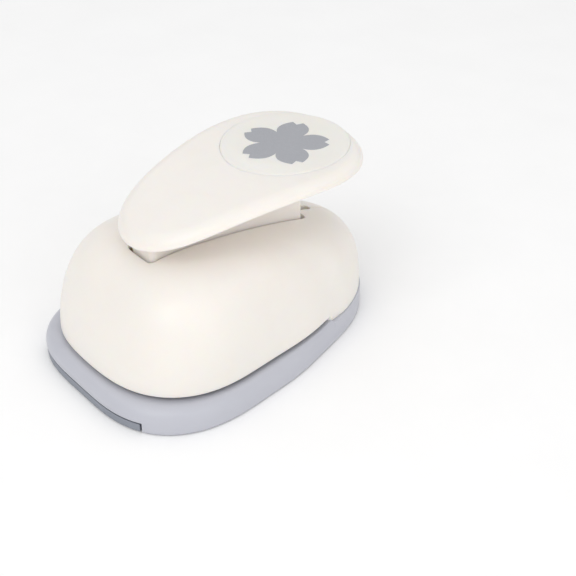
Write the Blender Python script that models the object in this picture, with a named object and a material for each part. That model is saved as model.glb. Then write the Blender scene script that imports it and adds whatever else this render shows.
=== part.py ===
"""Lever-type craft punch: domed plastic body on a grey base, a wide press lever hinged near its narrow tip,
and a flower punch head that the lever drives through a steel guide plate and die.

Units in this file are millimetres (scaled to metres when a mesh is made).  +Z is up, the paper goes in from -Y,
the wide end of the lever points to +Y, and X = 0 is the plane of symmetry.  The origin is on the table under the
middle of the body."""

import math
import bpy
import bmesh
from mathutils import Matrix, Vector

MM = 0.001

# ---------------------------------------------------------------- driving dimensions (mm)
# Plan outlines are polar curves r(t) = sum c[k] cos(k t), t measured from +Y about (0, y0).
BASE_COS = (63.87, -1.88, 11.78, 6.13, -0.35, 2.30)
BASE_Y0 = -6.55
DOME_COS = (58.24, -0.57, 9.41, 4.09, -1.08, 1.09)
DOME_Y0 = -8.15
REAR_INSET = 0.6            # the dome's rear wall stands this far inside the base wall
FLUSH_FROM, FLUSH_TO = 47.0, 33.0   # degrees from +Y between which the dome flares out to the base wall
NOTCH = 42.0                # degrees from +Y where the paper slot ends

BASE_BOTTOM = 0.5
TABLE_Z = 12.4              # paper table
TABLE_UNDER = 9.6
SHOULDER_Z = 5.6            # where the front wall of the base starts to round over
REAR_TOP = 11.6             # the rim that the dome's lower rear skirt comes down to
WALL_BASE = 2.6

DOME_EDGE_Z = 14.5          # lower edge of the dome over the paper slot
DOME_REAR_Z = 11.9
DOME_WALL = 2.4
DOME_Y_CENTRE = -19.7
CREST = (57.36, -0.1025, -1.133e-3, 1.614e-5, 3.30e-7)   # height of the crown surface as a polynomial in y
SQUARE = (4.93, 0.70, -1.10)   # power of the dome's section round the body: sum of SQUARE[k] cos kt

LEVER_FRONT, LEVER_REAR = 84.6, 30.7     # reach of the paddle in front of and behind the disc datum
LEVER_DATUM = (38.83, 85.8)              # y, z of the paddle's top over the datum
LEVER_TILT = math.radians(1.43)
LEVER_WIDTH = (36.25, 11.0, 10.32, -3.54)
LEVER_DROOP = (1.91e-3, 0.5e-5)
LEVER_STEPS = 18            # facets along each side of the paddle
LEVER_EDGE = (5.75, 4.0)    # rounding of the paddle's rim: how far in, how far down
LEVER_SKIRT = 0.6           # straight rim below the rounding
LEVER_TOP = 2.2             # thickness of the paddle's top wall
LEVER_WALL = 2.4
FLANGE = (2.5, 4.3)         # top and bottom of the lever frame's flange, below the paddle's top

DISC_R, DISC_Y = 28.7, 38.2
DISC_PROUD = 0.4
FLOWER_TIP, FLOWER_NOTCH, FLOWER_ROOT = 20.4, 18.1, 10.6
FLOWER_TIP_DEG = 6.7
FLOWER_TURN = -3.5           # degrees that the printed flower is turned from symmetric
FLOWER_SHIFT = -0.7          # the printed flower's centre stands this far in front of the disc's

WEB_HALF, WEB_WALL = 8.5, 2.9
WEB_FRONT, WEB_REAR, WEB_BOTTOM = -40.0, 41.5, 40.0
OPEN_HALF, OPEN_FRONT, OPEN_REAR = 9.4, -41.1, 44.0
REAR_SLOT_END = 52.5

PIVOT = (-33.0, 46.0)       # y, z of the hinge pin
PUNCH_Y = -4.0              # centre of the cut shape
ROLLER_Z, ROLLER_R = 44.0, 4.0
PRESS_DEG = 12.0            # travel of the lever

DIE_X, DIE_Y = 31.0, 26.0   # half sizes of the die plate
DIE_Z = (9.4, 12.3)
PLATE_Z = (14.6, 17.4)      # upper guide plate
PLATE_Y = (-46.0, 38.0)
PUNCH_Z = (15.0, 27.8)
CARRIER_Z = (28.1, 31.1)
POST_X = 26.5
SPRING_R, SPRING_WIRE, SPRING_TURNS = 3.3, 0.45, 4.0
SPRING_Z = (17.75, 27.75)
GAP = 0.3

# ---------------------------------------------------------------- clean start
for ob in list(bpy.data.objects):
    bpy.data.objects.remove(ob, do_unlink=True)

# ---------------------------------------------------------------- materials


def material(name, rgb, rough, metal=0.0):
    mat = bpy.data.materials.new(name)
    mat.use_nodes = True
    shader = mat.node_tree.nodes["Principled BSDF"]
    shader.inputs["Base Color"].default_value = (*rgb, 1.0)
    shader.inputs["Roughness"].default_value = rough
    shader.inputs["Metallic"].default_value = metal
    mat.diffuse_color = (*rgb, 1.0)
    return mat


LOOKS = {
    "ivory": ((0.90, 0.86, 0.80), 0.35, 0.0),
    "ivory_disc": ((0.88, 0.84, 0.78), 0.40, 0.0),
    "print": ((0.42, 0.43, 0.46), 0.50, 0.0),
    "grey": ((0.56, 0.57, 0.64), 0.40, 0.0),
    "slate": ((0.10, 0.11, 0.14), 0.55, 0.0),
    "steel": ((0.62, 0.62, 0.64), 0.30, 1.0),
    "tool_steel": ((0.50, 0.50, 0.52), 0.22, 1.0),
    "zinc": ((0.70, 0.70, 0.72), 0.35, 1.0),
    "spring": ((0.55, 0.55, 0.57), 0.28, 1.0),
    "nylon": ((0.86, 0.86, 0.82), 0.45, 0.0),
    "rubber": ((0.06, 0.06, 0.06), 0.85, 0.0),
}


def dress(ob, look):
    rgb, rough, metal = LOOKS[look]
    ob.data.materials.clear()
    ob.data.materials.append(material(ob.name + "_" + look, rgb, rough, metal))


# ---------------------------------------------------------------- mesh helpers


def make(name, verts, faces, look=None, smooth=None):
    """One object from points in mm; faces are turned to point outward."""
    me = bpy.data.meshes.new(name)
    me.from_pydata([Vector(v) * MM for v in verts], [], faces)
    bm = bmesh.new()
    bm.from_mesh(me)
    bmesh.ops.recalc_face_normals(bm, faces=bm.faces)
    bm.to_mesh(me)
    bm.free()
    me.update()
    ob = bpy.data.objects.new(name, me)
    bpy.context.collection.objects.link(ob)
    if look:
        dress(ob, look)
    if smooth:
        shade(ob, smooth)
    return ob


def shade(ob, degrees=35):
    ob.data.shade_smooth()
    ob.data.set_sharp_from_angle(angle=math.radians(degrees))


def combine(ob, tool, kind="DIFFERENCE"):
    """Cut ob with tool, or join tool to it, and drop the tool."""
    mod = ob.modifiers.new(kind.lower(), "BOOLEAN")
    mod.operation = kind
    mod.solver = "EXACT"
    mod.object = tool
    bpy.context.view_layer.update()
    graph = bpy.context.evaluated_depsgraph_get()
    result = bpy.data.meshes.new_from_object(ob.evaluated_get(graph))
    ob.modifiers.clear()
    old = ob.data
    ob.data = result
    bpy.data.meshes.remove(old)
    bpy.data.objects.remove(tool, do_unlink=True)
    return ob


def lathe(name, profile, look=None, seg=24, axis="Z", at=(0, 0, 0), smooth=35):
    """A turned solid: profile is (radius, height) pairs from the bottom of the axis to its top."""
    verts, rings = [], []
    for r, h in profile:
        if r < 1e-6:
            rings.append([len(verts)])
            verts.append((0, 0, h))
        else:
            rings.append(list(range(len(verts), len(verts) + seg)))
            for i in range(seg):
                a = 2 * math.pi * (i + 0.5) / seg
                verts.append((r * math.cos(a), r * math.sin(a), h))
    faces = []
    for lo, hi in zip(rings, rings[1:]):
        for i in range(seg):
            j = (i + 1) % seg
            if len(lo) == 1:
                faces.append((lo[0], hi[j], hi[i]))
            elif len(hi) == 1:
                faces.append((lo[i], lo[j], hi[0]))
            else:
                faces.append((lo[i], lo[j], hi[j], hi[i]))
    if len(rings[0]) > 1 and len(rings[-1]) > 1 and profile[0] != profile[-1]:
        faces.append(tuple(reversed(rings[0])))
        faces.append(tuple(rings[-1]))
    turn = {"Z": Matrix.Identity(3), "X": Matrix.Rotation(math.pi / 2, 3, "Y")}[axis]
    verts = [turn @ Vector(v) + Vector(at) for v in verts]
    return make(name, verts, faces, look, smooth)


def tube(name, r0, r1, z0, z1, look=None, seg=24, axis="Z", at=(0, 0, 0)):
    """A ring of inner radius r0 and outer radius r1."""
    verts, faces = [], []
    for r, z in ((r0, z0), (r1, z0), (r1, z1), (r0, z1)):
        for i in range(seg):
            a = 2 * math.pi * (i + 0.5) / seg
            verts.append((r * math.cos(a), r * math.sin(a), z))
    for k in range(4):
        for i in range(seg):
            j = (i + 1) % seg
            a, b = k * seg, ((k + 1) % 4) * seg
            faces.append((a + i, a + j, b + j, b + i))
    turn = {"Z": Matrix.Identity(3), "X": Matrix.Rotation(math.pi / 2, 3, "Y")}[axis]
    verts = [turn @ Vector(v) + Vector(at) for v in verts]
    return make(name, verts, faces, look, 35)


def prism(name, outline, z0, z1, look=None, smooth=None):
    """An upright prism on a closed plan outline."""
    n = len(outline)
    verts = [(x, y, z0) for x, y in outline] + [(x, y, z1) for x, y in outline]
    faces = [(i, (i + 1) % n, n + (i + 1) % n, n + i) for i in range(n)]
    faces += [tuple(reversed(range(n))), tuple(range(n, 2 * n))]
    return make(name, verts, faces, look, smooth)


def block(name, x0, x1, y0, y1, z0, z1, look=None):
    return prism(name, [(x0, y0), (x1, y0), (x1, y1), (x0, y1)], z0, z1, look)


def rounded(x0, x1, y0, y1, r, steps=5):
    """Plan rectangle with round corners."""
    pts = []
    for cx, cy, a0 in ((x1 - r, y0 + r, -90), (x1 - r, y1 - r, 0), (x0 + r, y1 - r, 90), (x0 + r, y0 + r, 180)):
        for k in range(steps + 1):
            a = math.radians(a0 + 90 * k / steps)
            pts.append((cx + r * math.cos(a), cy + r * math.sin(a)))
    return pts


def drill(ob, r, z0, z1, x, y, seg=24, axis="Z"):
    return combine(ob, lathe("drill", [(r, z0), (r, z1)], seg=seg, axis=axis, at=(x, y, 0) if axis == "Z" else (0, x, y)))


def offset(outline, d):
    """Closed outline moved outward by d (inward when d is negative); corners are mitred."""
    n = len(outline)
    area = sum(outline[i][0] * outline[(i + 1) % n][1] - outline[(i + 1) % n][0] * outline[i][1] for i in range(n))
    side = 1 if area > 0 else -1
    out = []
    for i in range(n):
        a, b, c = (Vector(outline[(i + k) % n]) for k in (-1, 0, 1))
        u, v = (b - a).normalized(), (c - b).normalized()
        nu, nv = Vector((u.y, -u.x)) * side, Vector((v.y, -v.x)) * side
        m = (nu + nv).normalized()
        out.append(tuple(b + m * (d / max(0.5, m.dot(nu)))))
    return out


# ---------------------------------------------------------------- body outlines


def cosines(c, t):
    return sum(ck * math.cos(k * t) for k, ck in enumerate(c))


def base_point(t, inset=0.0):
    r = cosines(BASE_COS, t) - inset
    return r * math.sin(t), BASE_Y0 + r * math.cos(t)


def flare(t):
    """0 where the dome stands back from the base wall, 1 where it is flush with it at the rear."""
    w = (FLUSH_FROM - math.degrees(abs(t))) / (FLUSH_FROM - FLUSH_TO)
    w = min(1.0, max(0.0, w))
    return w * w * (3 - 2 * w)


def dome_point(t, inset=0.0):
    r = cosines(DOME_COS, t) - inset
    x, y = r * math.sin(t), DOME_Y0 + r * math.cos(t)
    bx, by = base_point(t, REAR_INSET + inset)
    w = flare(t)
    return x + (bx - x) * w, y + (by - y) * w


def crown(y):
    return sum(c * y**k for k, c in enumerate(CREST))


def angles(count):
    """Even angles round the body, with a close pair at each end of the paper slot."""
    a = [-180 + 360 * i / count for i in range(count)]
    a = [v for v in a if abs(abs(v) - NOTCH) > 1.6]
    for side in (-1, 1):
        a += [side * (NOTCH - 0.4), side * (NOTCH + 0.4)]
    return [math.radians(v) for v in sorted(a)]


def edge_z(t):
    return DOME_EDGE_Z if math.degrees(abs(t)) > NOTCH else DOME_REAR_Z


def dome_surface(t, rho, inset=0.0):
    """Point of the dome's skin (or of its inside, inset mm in) at the fraction rho of its radius."""
    ox, oy = dome_point(t, inset)
    x, y = rho * ox, DOME_Y_CENTRE + rho * (oy - DOME_Y_CENTRE)
    p = cosines(SQUARE, t)
    lift = max(0.0, 1 - rho**p) ** (2 / p)
    return x, y, DOME_EDGE_Z + (crown(y) - inset - DOME_EDGE_Z) * lift


def dome_height(x, y, inset=0.0):
    """Height of the dome's skin over a plan point."""
    want = math.atan2(abs(x), y - DOME_Y_CENTRE)
    lo, hi = 0.0, math.pi
    for _ in range(40):
        mid = (lo + hi) / 2
        ox, oy = dome_point(mid, inset)
        if math.atan2(ox, oy - DOME_Y_CENTRE) < want:
            lo = mid
        else:
            hi = mid
    ox, oy = dome_point(lo, inset)
    rho = math.hypot(x, y - DOME_Y_CENTRE) / math.hypot(ox, oy - DOME_Y_CENTRE)
    return dome_surface(lo, min(1.0, rho), inset)[2]


# ---------------------------------------------------------------- base frame
TURN = angles(56)
N = len(TURN)


def ring_faces(a, b, n):
    return [(a + i, a + (i + 1) % n, b + (i + 1) % n, b + i) for i in range(n)]


def build_base():
    def mix(t, f):
        (bx, by), (dx, dy) = base_point(t), dome_point(t)
        return bx + (dx - bx) * f, by + (dy - by) * f

    rings = []
    rings.append([(*base_point(t), BASE_BOTTOM) for t in TURN])
    rings.append([(*base_point(t), SHOULDER_Z if edge_z(t) == DOME_EDGE_Z else REAR_TOP - 0.5) for t in TURN])
    for f in (0.08, 0.28, 0.6, 1.0):
        ring = []
        for t in TURN:
            x, y = mix(t, f)
            if edge_z(t) == DOME_EDGE_Z:
                z = SHOULDER_Z + (TABLE_Z - SHOULDER_Z) * (1 - (1 - f) ** 2.2) ** (1 / 2.2)
            else:
                z = REAR_TOP - 0.5 * (1 - f) ** 2
            ring.append((x, y, z))
        rings.append(ring)
    for inset, rear in ((2.7, REAR_TOP), (3.1, TABLE_Z)):
        rings.append([(*dome_point(t, inset), TABLE_Z if edge_z(t) == DOME_EDGE_Z else rear) for t in TURN])
    top = len(rings) - 1
    rings.append([(*base_point(t, 6.6), TABLE_UNDER) for t in TURN])
    rings.append([(*base_point(t, WALL_BASE), SHOULDER_Z) for t in TURN])
    rings.append([(*base_point(t, WALL_BASE), BASE_BOTTOM) for t in TURN])
    verts = [p for ring in rings for p in ring]
    faces = []
    for k in range(top):
        faces += ring_faces(k * N, (k + 1) * N, N)
    faces.append(tuple(range(top * N, (top + 1) * N)))
    faces.append(tuple(range((top + 1) * N, (top + 2) * N)))
    for k in (top + 1, top + 2):
        faces += ring_faces(k * N, (k + 1) * N, N)
    faces += ring_faces((top + 3) * N, 0, N)
    ob = make("base_frame", verts, faces)
    # seat for the die, screw bosses
    combine(ob, block("seat", -37, 37, PUNCH_Y - 32, PUNCH_Y + 32, 6.0, 9.9), "UNION")
    for x, y in [(-24, 33), (24, 33)] + BOTTOM_SCREWS:
        combine(ob, lathe("boss", [(4.6, 4.3), (4.6, 9.9)], seg=12, at=(x, y, 0)), "UNION")
    combine(ob, block("well", -25.4, 25.4, PUNCH_Y - 21.4, PUNCH_Y + 21.4, 0, 20))
    combine(ob, block("rebate", -DIE_X - GAP, DIE_X + GAP, PUNCH_Y - DIE_Y - GAP, PUNCH_Y + DIE_Y + GAP, 9.1, 20))
    for x in (-24, 24):
        drill(ob, 1.8, 4.9, 20, x, 33, 10)
    for x, y in BOTTOM_SCREWS:
        drill(ob, 1.6, 3.0, 8.4, x, y, 10)
    for x, y in DOME_SCREWS:
        drill(ob, 1.9, 3.0, 20, x, y, 10)
    for x, y in DIE_SCREWS:
        drill(ob, 1.5, 6.6, 20, x, y, 10)
    # gap in the lower front wall, which the bottom cover's lip fills
    wall = []
    for k in range(17):
        t = math.radians(180 - RECESS_DEG + 2 * RECESS_DEG * k / 16)
        wall.append(t)
    outer = [base_point(t, -3.0) for t in wall]
    inner = [base_point(t, WALL_BASE + 1.0) for t in wall]
    combine(ob, prism("recess", outer + inner[::-1], -1.0, RECESS_TOP))
    dress(ob, "grey")
    shade(ob, 30)
    return ob


RECESS_DEG, RECESS_TOP = 32.0, 5.0   # half width in degrees and top of the gap in the front wall
LIP_DEG, LIP_Z = 31.1, (0.7, 4.35)    # the bottom cover's lip in that gap
BOTTOM_SCREWS = [(-40.0, -28.0), (40.0, -28.0), (-14.0, 56.0), (14.0, 56.0)]
DOME_SCREWS = [(-26.0, 44.0), (26.0, 44.0)]
DIE_SCREWS = [(sx * 28.0, PUNCH_Y + sy * 23.5) for sx in (-1, 1) for sy in (-1, 1)]

base_frame = build_base()


# ---------------------------------------------------------------- dome
def boss_top(x, y, r):
    """Where a round boss can end inside the dome's wall."""
    return min(dome_height(x + r * math.cos(a), y + r * math.sin(a)) for a in [math.pi * k / 8 for k in range(16)]) - 0.9


def build_dome():
    rhos_out = [math.sin(math.radians(a)) for a in (90, 78, 66, 54, 42, 30, 16)]
    rhos_in = [math.sin(math.radians(a)) for a in (90, 72, 54, 36, 18)]
    rings = [[(*dome_point(t), edge_z(t)) for t in TURN]]
    rings += [[dome_surface(t, r) for t in TURN] for r in rhos_out[1:]]
    verts = [p for ring in rings for p in ring]
    k_out = len(rings)
    faces = []
    for k in range(k_out - 1):
        faces += ring_faces(k * N, (k + 1) * N, N)
    apex = len(verts)
    verts.append((0, DOME_Y_CENTRE, crown(DOME_Y_CENTRE)))
    faces += [((k_out - 1) * N + i, (k_out - 1) * N + (i + 1) % N, apex) for i in range(N)]
    start = len(verts)
    inner = [[(*dome_point(t, DOME_WALL), edge_z(t)) for t in TURN]]
    inner += [[dome_surface(t, r, DOME_WALL) for t in TURN] for r in rhos_in[1:]]
    for ring in inner:
        verts += ring
    for k in range(len(inner) - 1):
        faces += ring_faces(start + k * N, start + (k + 1) * N, N)
    apex = len(verts)
    verts.append((0, DOME_Y_CENTRE, crown(DOME_Y_CENTRE) - DOME_WALL))
    last = start + (len(inner) - 1) * N
    faces += [(last + i, last + (i + 1) % N, apex) for i in range(N)]
    faces += ring_faces(0, start, N)
    ob = make("dome_cover", verts, faces)
    # bosses that stand on the base at the rear and on the guide plate in front
    for x, y in DOME_SCREWS:
        combine(ob, lathe("boss", [(4.5, TABLE_Z + GAP), (4.5, boss_top(x, y, 4.5))], seg=12, at=(x, y, 0)), "UNION")
    for x in (-22, 22):
        combine(ob, lathe("boss", [(3.5, PLATE_Z[1] + GAP), (3.5, boss_top(x, -40, 3.5))], seg=12, at=(x, -40, 0)), "UNION")
    for x, y in DOME_SCREWS:
        drill(ob, 1.8, 5, 25.0, x, y, 10)
    # opening that the lever's web sinks into, and the narrow slot behind it
    combine(ob, prism("opening", rounded(-OPEN_HALF, OPEN_HALF, OPEN_FRONT, OPEN_REAR, 2.5, 4), 30, 75))
    combine(ob, prism("slot", [(-1.5, OPEN_REAR - 2), (1.5, OPEN_REAR - 2), (1.5, REAR_SLOT_END - 1.5), (0.9, REAR_SLOT_END), (-0.9, REAR_SLOT_END), (-1.5, REAR_SLOT_END - 1.5)], 30, 75))
    # centre-line groove down the rear
    line = [dome_surface(0.0, r)[1:] for r in (0.74, 0.82, 0.89, 0.94, 0.98)]
    line = [(y, z) for y, z in line]
    low = [(y - 0.25, z - 0.45) for y, z in line]
    high = [(y + 2.0, z + 3.0) for y, z in line]
    prof = low + high[::-1]
    n = len(prof)
    verts = [(-0.35, y, z) for y, z in prof] + [(0.35, y, z) for y, z in prof]
    faces = [(i, (i + 1) % n, n + (i + 1) % n, n + i) for i in range(n)]
    faces += [tuple(reversed(range(n))), tuple(range(n, 2 * n))]
    combine(ob, make("groove", verts, faces))
    dress(ob, "ivory")
    shade(ob, 40)
    return ob


dome = build_dome()


# ---------------------------------------------------------------- lever
def lever_top(y):
    """Height of the paddle's top surface along its length."""
    s = y - LEVER_DATUM[0]
    e = max(0.0, -s - 5.0)
    return LEVER_DATUM[1] + s * math.tan(LEVER_TILT) - LEVER_DROOP[0] * e**2 - LEVER_DROOP[1] * e**3


def lever_outline(count):
    """Right half of the paddle's plan from its front tip to its rear end, as (x, y)."""
    pts = []
    for k in range(count + 1):
        u = 0.5 - 0.5 * math.cos(math.pi * k / count)
        v = 2 * u - 1
        w = 2 * math.sqrt(max(0.0, u * (1 - u))) * sum(c * v**j for j, c in enumerate(LEVER_WIDTH))
        pts.append((w, LEVER_DATUM[0] - LEVER_FRONT + u * (LEVER_FRONT + LEVER_REAR)))
    return pts


def lever_ring(inset, count):
    """Closed plan ring (right half front to rear, then left half back) moved in by inset."""
    half = lever_outline(count)
    full = half + [(-x, y) for x, y in half[-2:0:-1]]
    return offset(full, -inset) if inset else full


def skin(ring, drop):
    return [(x, y, lever_top(y) - drop) for x, y in ring]


def capped(rings, count, name):
    """Closed body from plan rings bottom to top; both ends are closed by cross strips between mirrored points."""
    n = len(rings[0])
    verts = [p for ring in rings for p in ring]
    faces = []
    for k in range(len(rings) - 1):
        faces += ring_faces(k * n, (k + 1) * n, n)
    for base, flip in ((0, False), ((len(rings) - 1) * n, True)):
        right = [base + i for i in range(count + 1)]
        left = [base] + [base + n - i for i in range(1, count)] + [base + count]
        for i in range(count):
            quad = [right[i], right[i + 1], left[i + 1], left[i]]
            quad = list(dict.fromkeys(quad))
            faces.append(tuple(quad if flip else quad[::-1]))
    return make(name, verts, faces)


def build_lever_cover():
    c = LEVER_STEPS
    rh, rv = LEVER_EDGE
    rings = [skin(lever_ring(0, c), rv + LEVER_SKIRT), skin(lever_ring(0, c), rv)]
    for a in (30, 60, 90):
        a = math.radians(a)
        rings.append(skin(lever_ring(rh * (1 - math.cos(a)), c), rv * (1 - math.sin(a))))
    outer = capped(rings, c, "lever_cover")
    rings = [skin(lever_ring(LEVER_WALL, c), rv + LEVER_SKIRT + 2.0), skin(lever_ring(LEVER_WALL, c), LEVER_TOP + 1.6)]
    rings.append(skin(lever_ring(LEVER_WALL + 2.4, c), LEVER_TOP))
    combine(outer, capped(rings, c, "hollow"))
    for x, y in LEVER_SCREWS:
        combine(outer, lathe("boss", [(3.0, lever_top(y) - 4.0), (3.0, lever_top(y) - LEVER_TOP + 0.4)], seg=12, at=(x, y, 0)), "UNION")
        drill(outer, 1.3, lever_top(y) - 12, lever_top(y) - LEVER_TOP, x, y, 10)
    pocket = lathe("pocket", [(DISC_R + 0.35, -1.3), (DISC_R + 0.35, 6.0)], seg=48)
    place_on_disc(pocket)
    combine(outer, pocket)
    dress(outer, "ivory")
    shade(outer, 40)
    return outer


LEVER_SCREWS = [(-16.0, 26.0), (16.0, 26.0), (-13.0, 56.0), (13.0, 56.0)]


def place_on_disc(ob):
    """Put a piece made flat round the origin on the tilted plane of the lever's disc."""
    z = LEVER_DATUM[1] + DISC_PROUD + (DISC_Y - LEVER_DATUM[0]) * math.tan(LEVER_TILT)
    move = Matrix.Translation(Vector((0, DISC_Y, z)) * MM) @ Matrix.Rotation(LEVER_TILT, 4, "X")
    ob.data.transform(move)
    return ob


def flower(turn=0.0):
    """Five notched petals, each side a cubic curve from the root vertex to its tip."""
    pts = []
    a = math.radians(36)
    tip = math.radians(FLOWER_TIP_DEG)
    root = (FLOWER_ROOT * math.cos(a), FLOWER_ROOT * math.sin(a))
    end = (FLOWER_TIP * math.cos(tip), FLOWER_TIP * math.sin(tip))
    c1 = (root[0] + 3.9, root[1] + 1.7)
    c2 = (end[0] - 3.6, end[1] + 5.4)
    side = []
    for k in range(7):
        t = k / 6
        b = ((1 - t) ** 3, 3 * t * (1 - t) ** 2, 3 * t * t * (1 - t), t**3)
        side.append(tuple(b[0] * root[i] + b[1] * c1[i] + b[2] * c2[i] + b[3] * end[i] for i in (0, 1)))
    petal = [(x, -y) for x, y in side] + [(FLOWER_NOTCH, 0.0)] + side[::-1][:-1]
    for k in range(5):
        # petal axes at 180 degrees from +Y, then every 72 degrees
        d = math.radians(-90 + 72 * k + turn)
        for x, y in petal:
            pts.append((x * math.cos(d) - y * math.sin(d), x * math.sin(d) + y * math.cos(d)))
    return pts


def loft_y(name, sections):
    """Closed body from cross-sections along Y: each is (y, half width, bottom z, top z)."""
    verts, faces = [], []
    for y, w, z0, z1 in sections:
        verts += [(-w, y, z0), (w, y, z0), (w, y, z1), (-w, y, z1)]
    for k in range(len(sections) - 1):
        a, b = 4 * k, 4 * k + 4
        for i in range(4):
            j = (i + 1) % 4
            faces.append((a + i, a + j, b + j, b + i))
    last = 4 * (len(sections) - 1)
    faces += [(3, 2, 1, 0), (last, last + 1, last + 2, last + 3)]
    return make(name, verts, faces)


def build_lever_frame():
    c = LEVER_STEPS
    plate = capped([skin(lever_ring(3.0, c), FLANGE[1]), skin(lever_ring(5.4, c), FLANGE[0])], c, "lever_frame")
    ys = [WEB_FRONT + 3.0 * (1 - math.cos(math.radians(a))) for a in (0, 30, 60, 90)]
    wid = [WEB_HALF - 3.0 + 3.0 * math.sin(math.radians(a)) for a in (0, 30, 60, 90)]
    ys += [-28, -18, -8, 2, 12, 22, 32, WEB_REAR - 0.8, WEB_REAR]
    wid += [WEB_HALF] * 8 + [WEB_HALF - 0.8]
    combine(plate, loft_y("web", [(y, w, WEB_BOTTOM, lever_top(y) - 3.2) for y, w in zip(ys, wid)]), "UNION")
    t = WEB_WALL
    ys = [WEB_FRONT + 7.2, -28, -18, -8, 2, 12, 22, 32, WEB_REAR - t]
    combine(plate, loft_y("hollow", [(y, WEB_HALF - t, WEB_BOTTOM - 5, lever_top(y) - 6.0) for y in ys]))
    drill(plate, 2.8, -20, 20, PIVOT[0], PIVOT[1], 16, "X")
    drill(plate, 1.8, -20, 20, PUNCH_Y, ROLLER_Z, 12, "X")
    drill(plate, 1.8, -20, 20, STOP_Y, STOP_Z, 12, "X")
    for x, y in LEVER_SCREWS:
        drill(plate, 3.4, lever_top(y) - 12, lever_top(y), x, y, 12)
    # the web's rear face leans forward so that it clears the opening as the lever goes down
    n = [(-20, WEB_REAR + 0.05, 50), (-20, WEB_REAR - 1.2, 76), (-20, WEB_REAR + 6, 76), (-20, WEB_REAR + 6, 50)]
    verts = n + [(20, y, z) for _, y, z in n]
    combine(plate, make("lean", verts, [(0, 1, 2, 3), (7, 6, 5, 4)] + [(i, (i + 1) % 4, 4 + (i + 1) % 4, 4 + i) for i in range(4)]))
    dress(plate, "ivory")
    shade(plate, 40)
    return plate


STOP_Y, STOP_Z = 35.0, 45.2

lever_cover = build_lever_cover()
lever_frame = build_lever_frame()

disc = lathe("disc_insert", [(DISC_R, -1.0), (DISC_R, -0.35), (DISC_R - 0.35, 0)], seg=48)
printed = [(x, y + FLOWER_SHIFT) for x, y in flower(FLOWER_TURN)]
combine(disc, prism("flower_pocket", offset(printed, 0.3), -0.6, 2.0))
place_on_disc(disc)
dress(disc, "ivory_disc")
shade(disc, 30)

emblem = prism("flower_emblem", printed, -0.3, 0.0, "print")
place_on_disc(emblem)

# ---------------------------------------------------------------- hinge
bracket = block("pivot_bracket", -13.6, 13.6, -44.5, -25.6, PLATE_Z[1] + GAP, 51.0)
combine(bracket, block("inside", -11.1, 11.1, -60, 0, PLATE_Z[1] + GAP + 2.2, 60))
for y0, y1 in ((-50, -40.5), (-26.5, -15)):
    combine(bracket, block("trim", -20, 20, y0, y1, 34.0, 60))
drill(bracket, 2.8, -20, 20, PIVOT[0], PIVOT[1], 16, "X")
BRACKET_SCREWS = [(-7.0, -29.5), (7.0, -29.5), (0.0, -40.0)]
for x, y in BRACKET_SCREWS:
    drill(bracket, 1.8, 10, 25, x, y, 10)
dress(bracket, "zinc")

lathe("pivot_pin", [(0, -15.9), (3.9, -15.9), (3.9, -13.9), (2.5, -13.9), (2.5, 16.6), (0, 16.6)], "steel", 12, "X", (0, *PIVOT))
tube("pivot_clip", 2.8, 4.6, 13.9, 14.9, "spring", 14, "X", (0, *PIVOT))
for side, name in ((-1, "pivot_bush_left"), (1, "pivot_bush_right")):
    lo, hi = sorted((side * 8.8, side * 10.8))
    tube(name, 2.8, 5.0, lo, hi, "nylon", 14, "X", (0, *PIVOT))
for i, (x, y) in enumerate(BRACKET_SCREWS):
    z = PLATE_Z[1] + GAP + 2.2 + GAP
    lathe("bracket_screw_%d" % (i + 1), [(0, 15.2), (1.5, 15.2), (1.5, z), (2.9, z), (2.9, z + 1.3), (2.2, z + 1.9), (0, z + 1.9)], "steel", 10, at=(x, y, 0))

# ---------------------------------------------------------------- roller and stop on the lever
tube("press_roller", 1.8, ROLLER_R, -5.2, 5.2, "tool_steel", 20, "X", (0, PUNCH_Y, ROLLER_Z))
lathe("roller_pin", [(0, -8.3), (1.5, -8.3), (1.5, 8.3), (0, 8.3)], "steel", 12, "X", (0, PUNCH_Y, ROLLER_Z))
lathe("stop_pin", [(0, -12.5), (1.5, -12.5), (1.5, 12.5), (0, 12.5)], "steel", 12, "X", (0, STOP_Y, STOP_Z))
for i, (x, y) in enumerate(LEVER_SCREWS):
    z = lever_top(y) - FLANGE[1] - GAP - 0.4
    lathe("lever_screw_%d" % (i + 1), [(0, z - 1.4), (3.4, z - 1.4), (4.2, z - 0.8), (4.2, z), (1.0, z), (1.0, z + 2.3), (0, z + 2.3)], "steel", 10, at=(x, y, 0))

# ---------------------------------------------------------------- punch head and plates
punch = prism("flower_punch", [(x, y + PUNCH_Y) for x, y in flower()], *PUNCH_Z)
CARRIER_SCREWS = [(-9.0, PUNCH_Y), (9.0, PUNCH_Y)]
for x, y in CARRIER_SCREWS:
    drill(punch, 1.5, 21.0, 40, x, y, 10)
dress(punch, "tool_steel")

carrier = prism("punch_carrier", rounded(-31, 31, PUNCH_Y - 8, PUNCH_Y + 8, 4), *CARRIER_Z)
for x in (-POST_X, POST_X):
    drill(carrier, 2.4, 20, 40, x, PUNCH_Y, 14)
for x, y in CARRIER_SCREWS:
    drill(carrier, 1.6, 20, 40, x, y, 10)
dress(carrier, "zinc")
for i, (x, y) in enumerate(CARRIER_SCREWS):
    z = CARRIER_Z[1] + GAP
    lathe("carrier_screw_%d" % (i + 1), [(0, 22.0), (1.2, 22.0), (1.2, z), (2.5, z), (2.5, z + 1.2), (1.9, z + 1.8), (0, z + 1.8)], "steel", 10, at=(x, y, 0))
lathe("press_pad", [(0, CARRIER_Z[1] + GAP), (5.6, CARRIER_Z[1] + GAP), (5.6, ROLLER_Z - ROLLER_R - 1.1), (4.9, ROLLER_Z - ROLLER_R - GAP), (0, ROLLER_Z - ROLLER_R - GAP)], "nylon", 24, at=(0, PUNCH_Y, 0))

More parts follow.
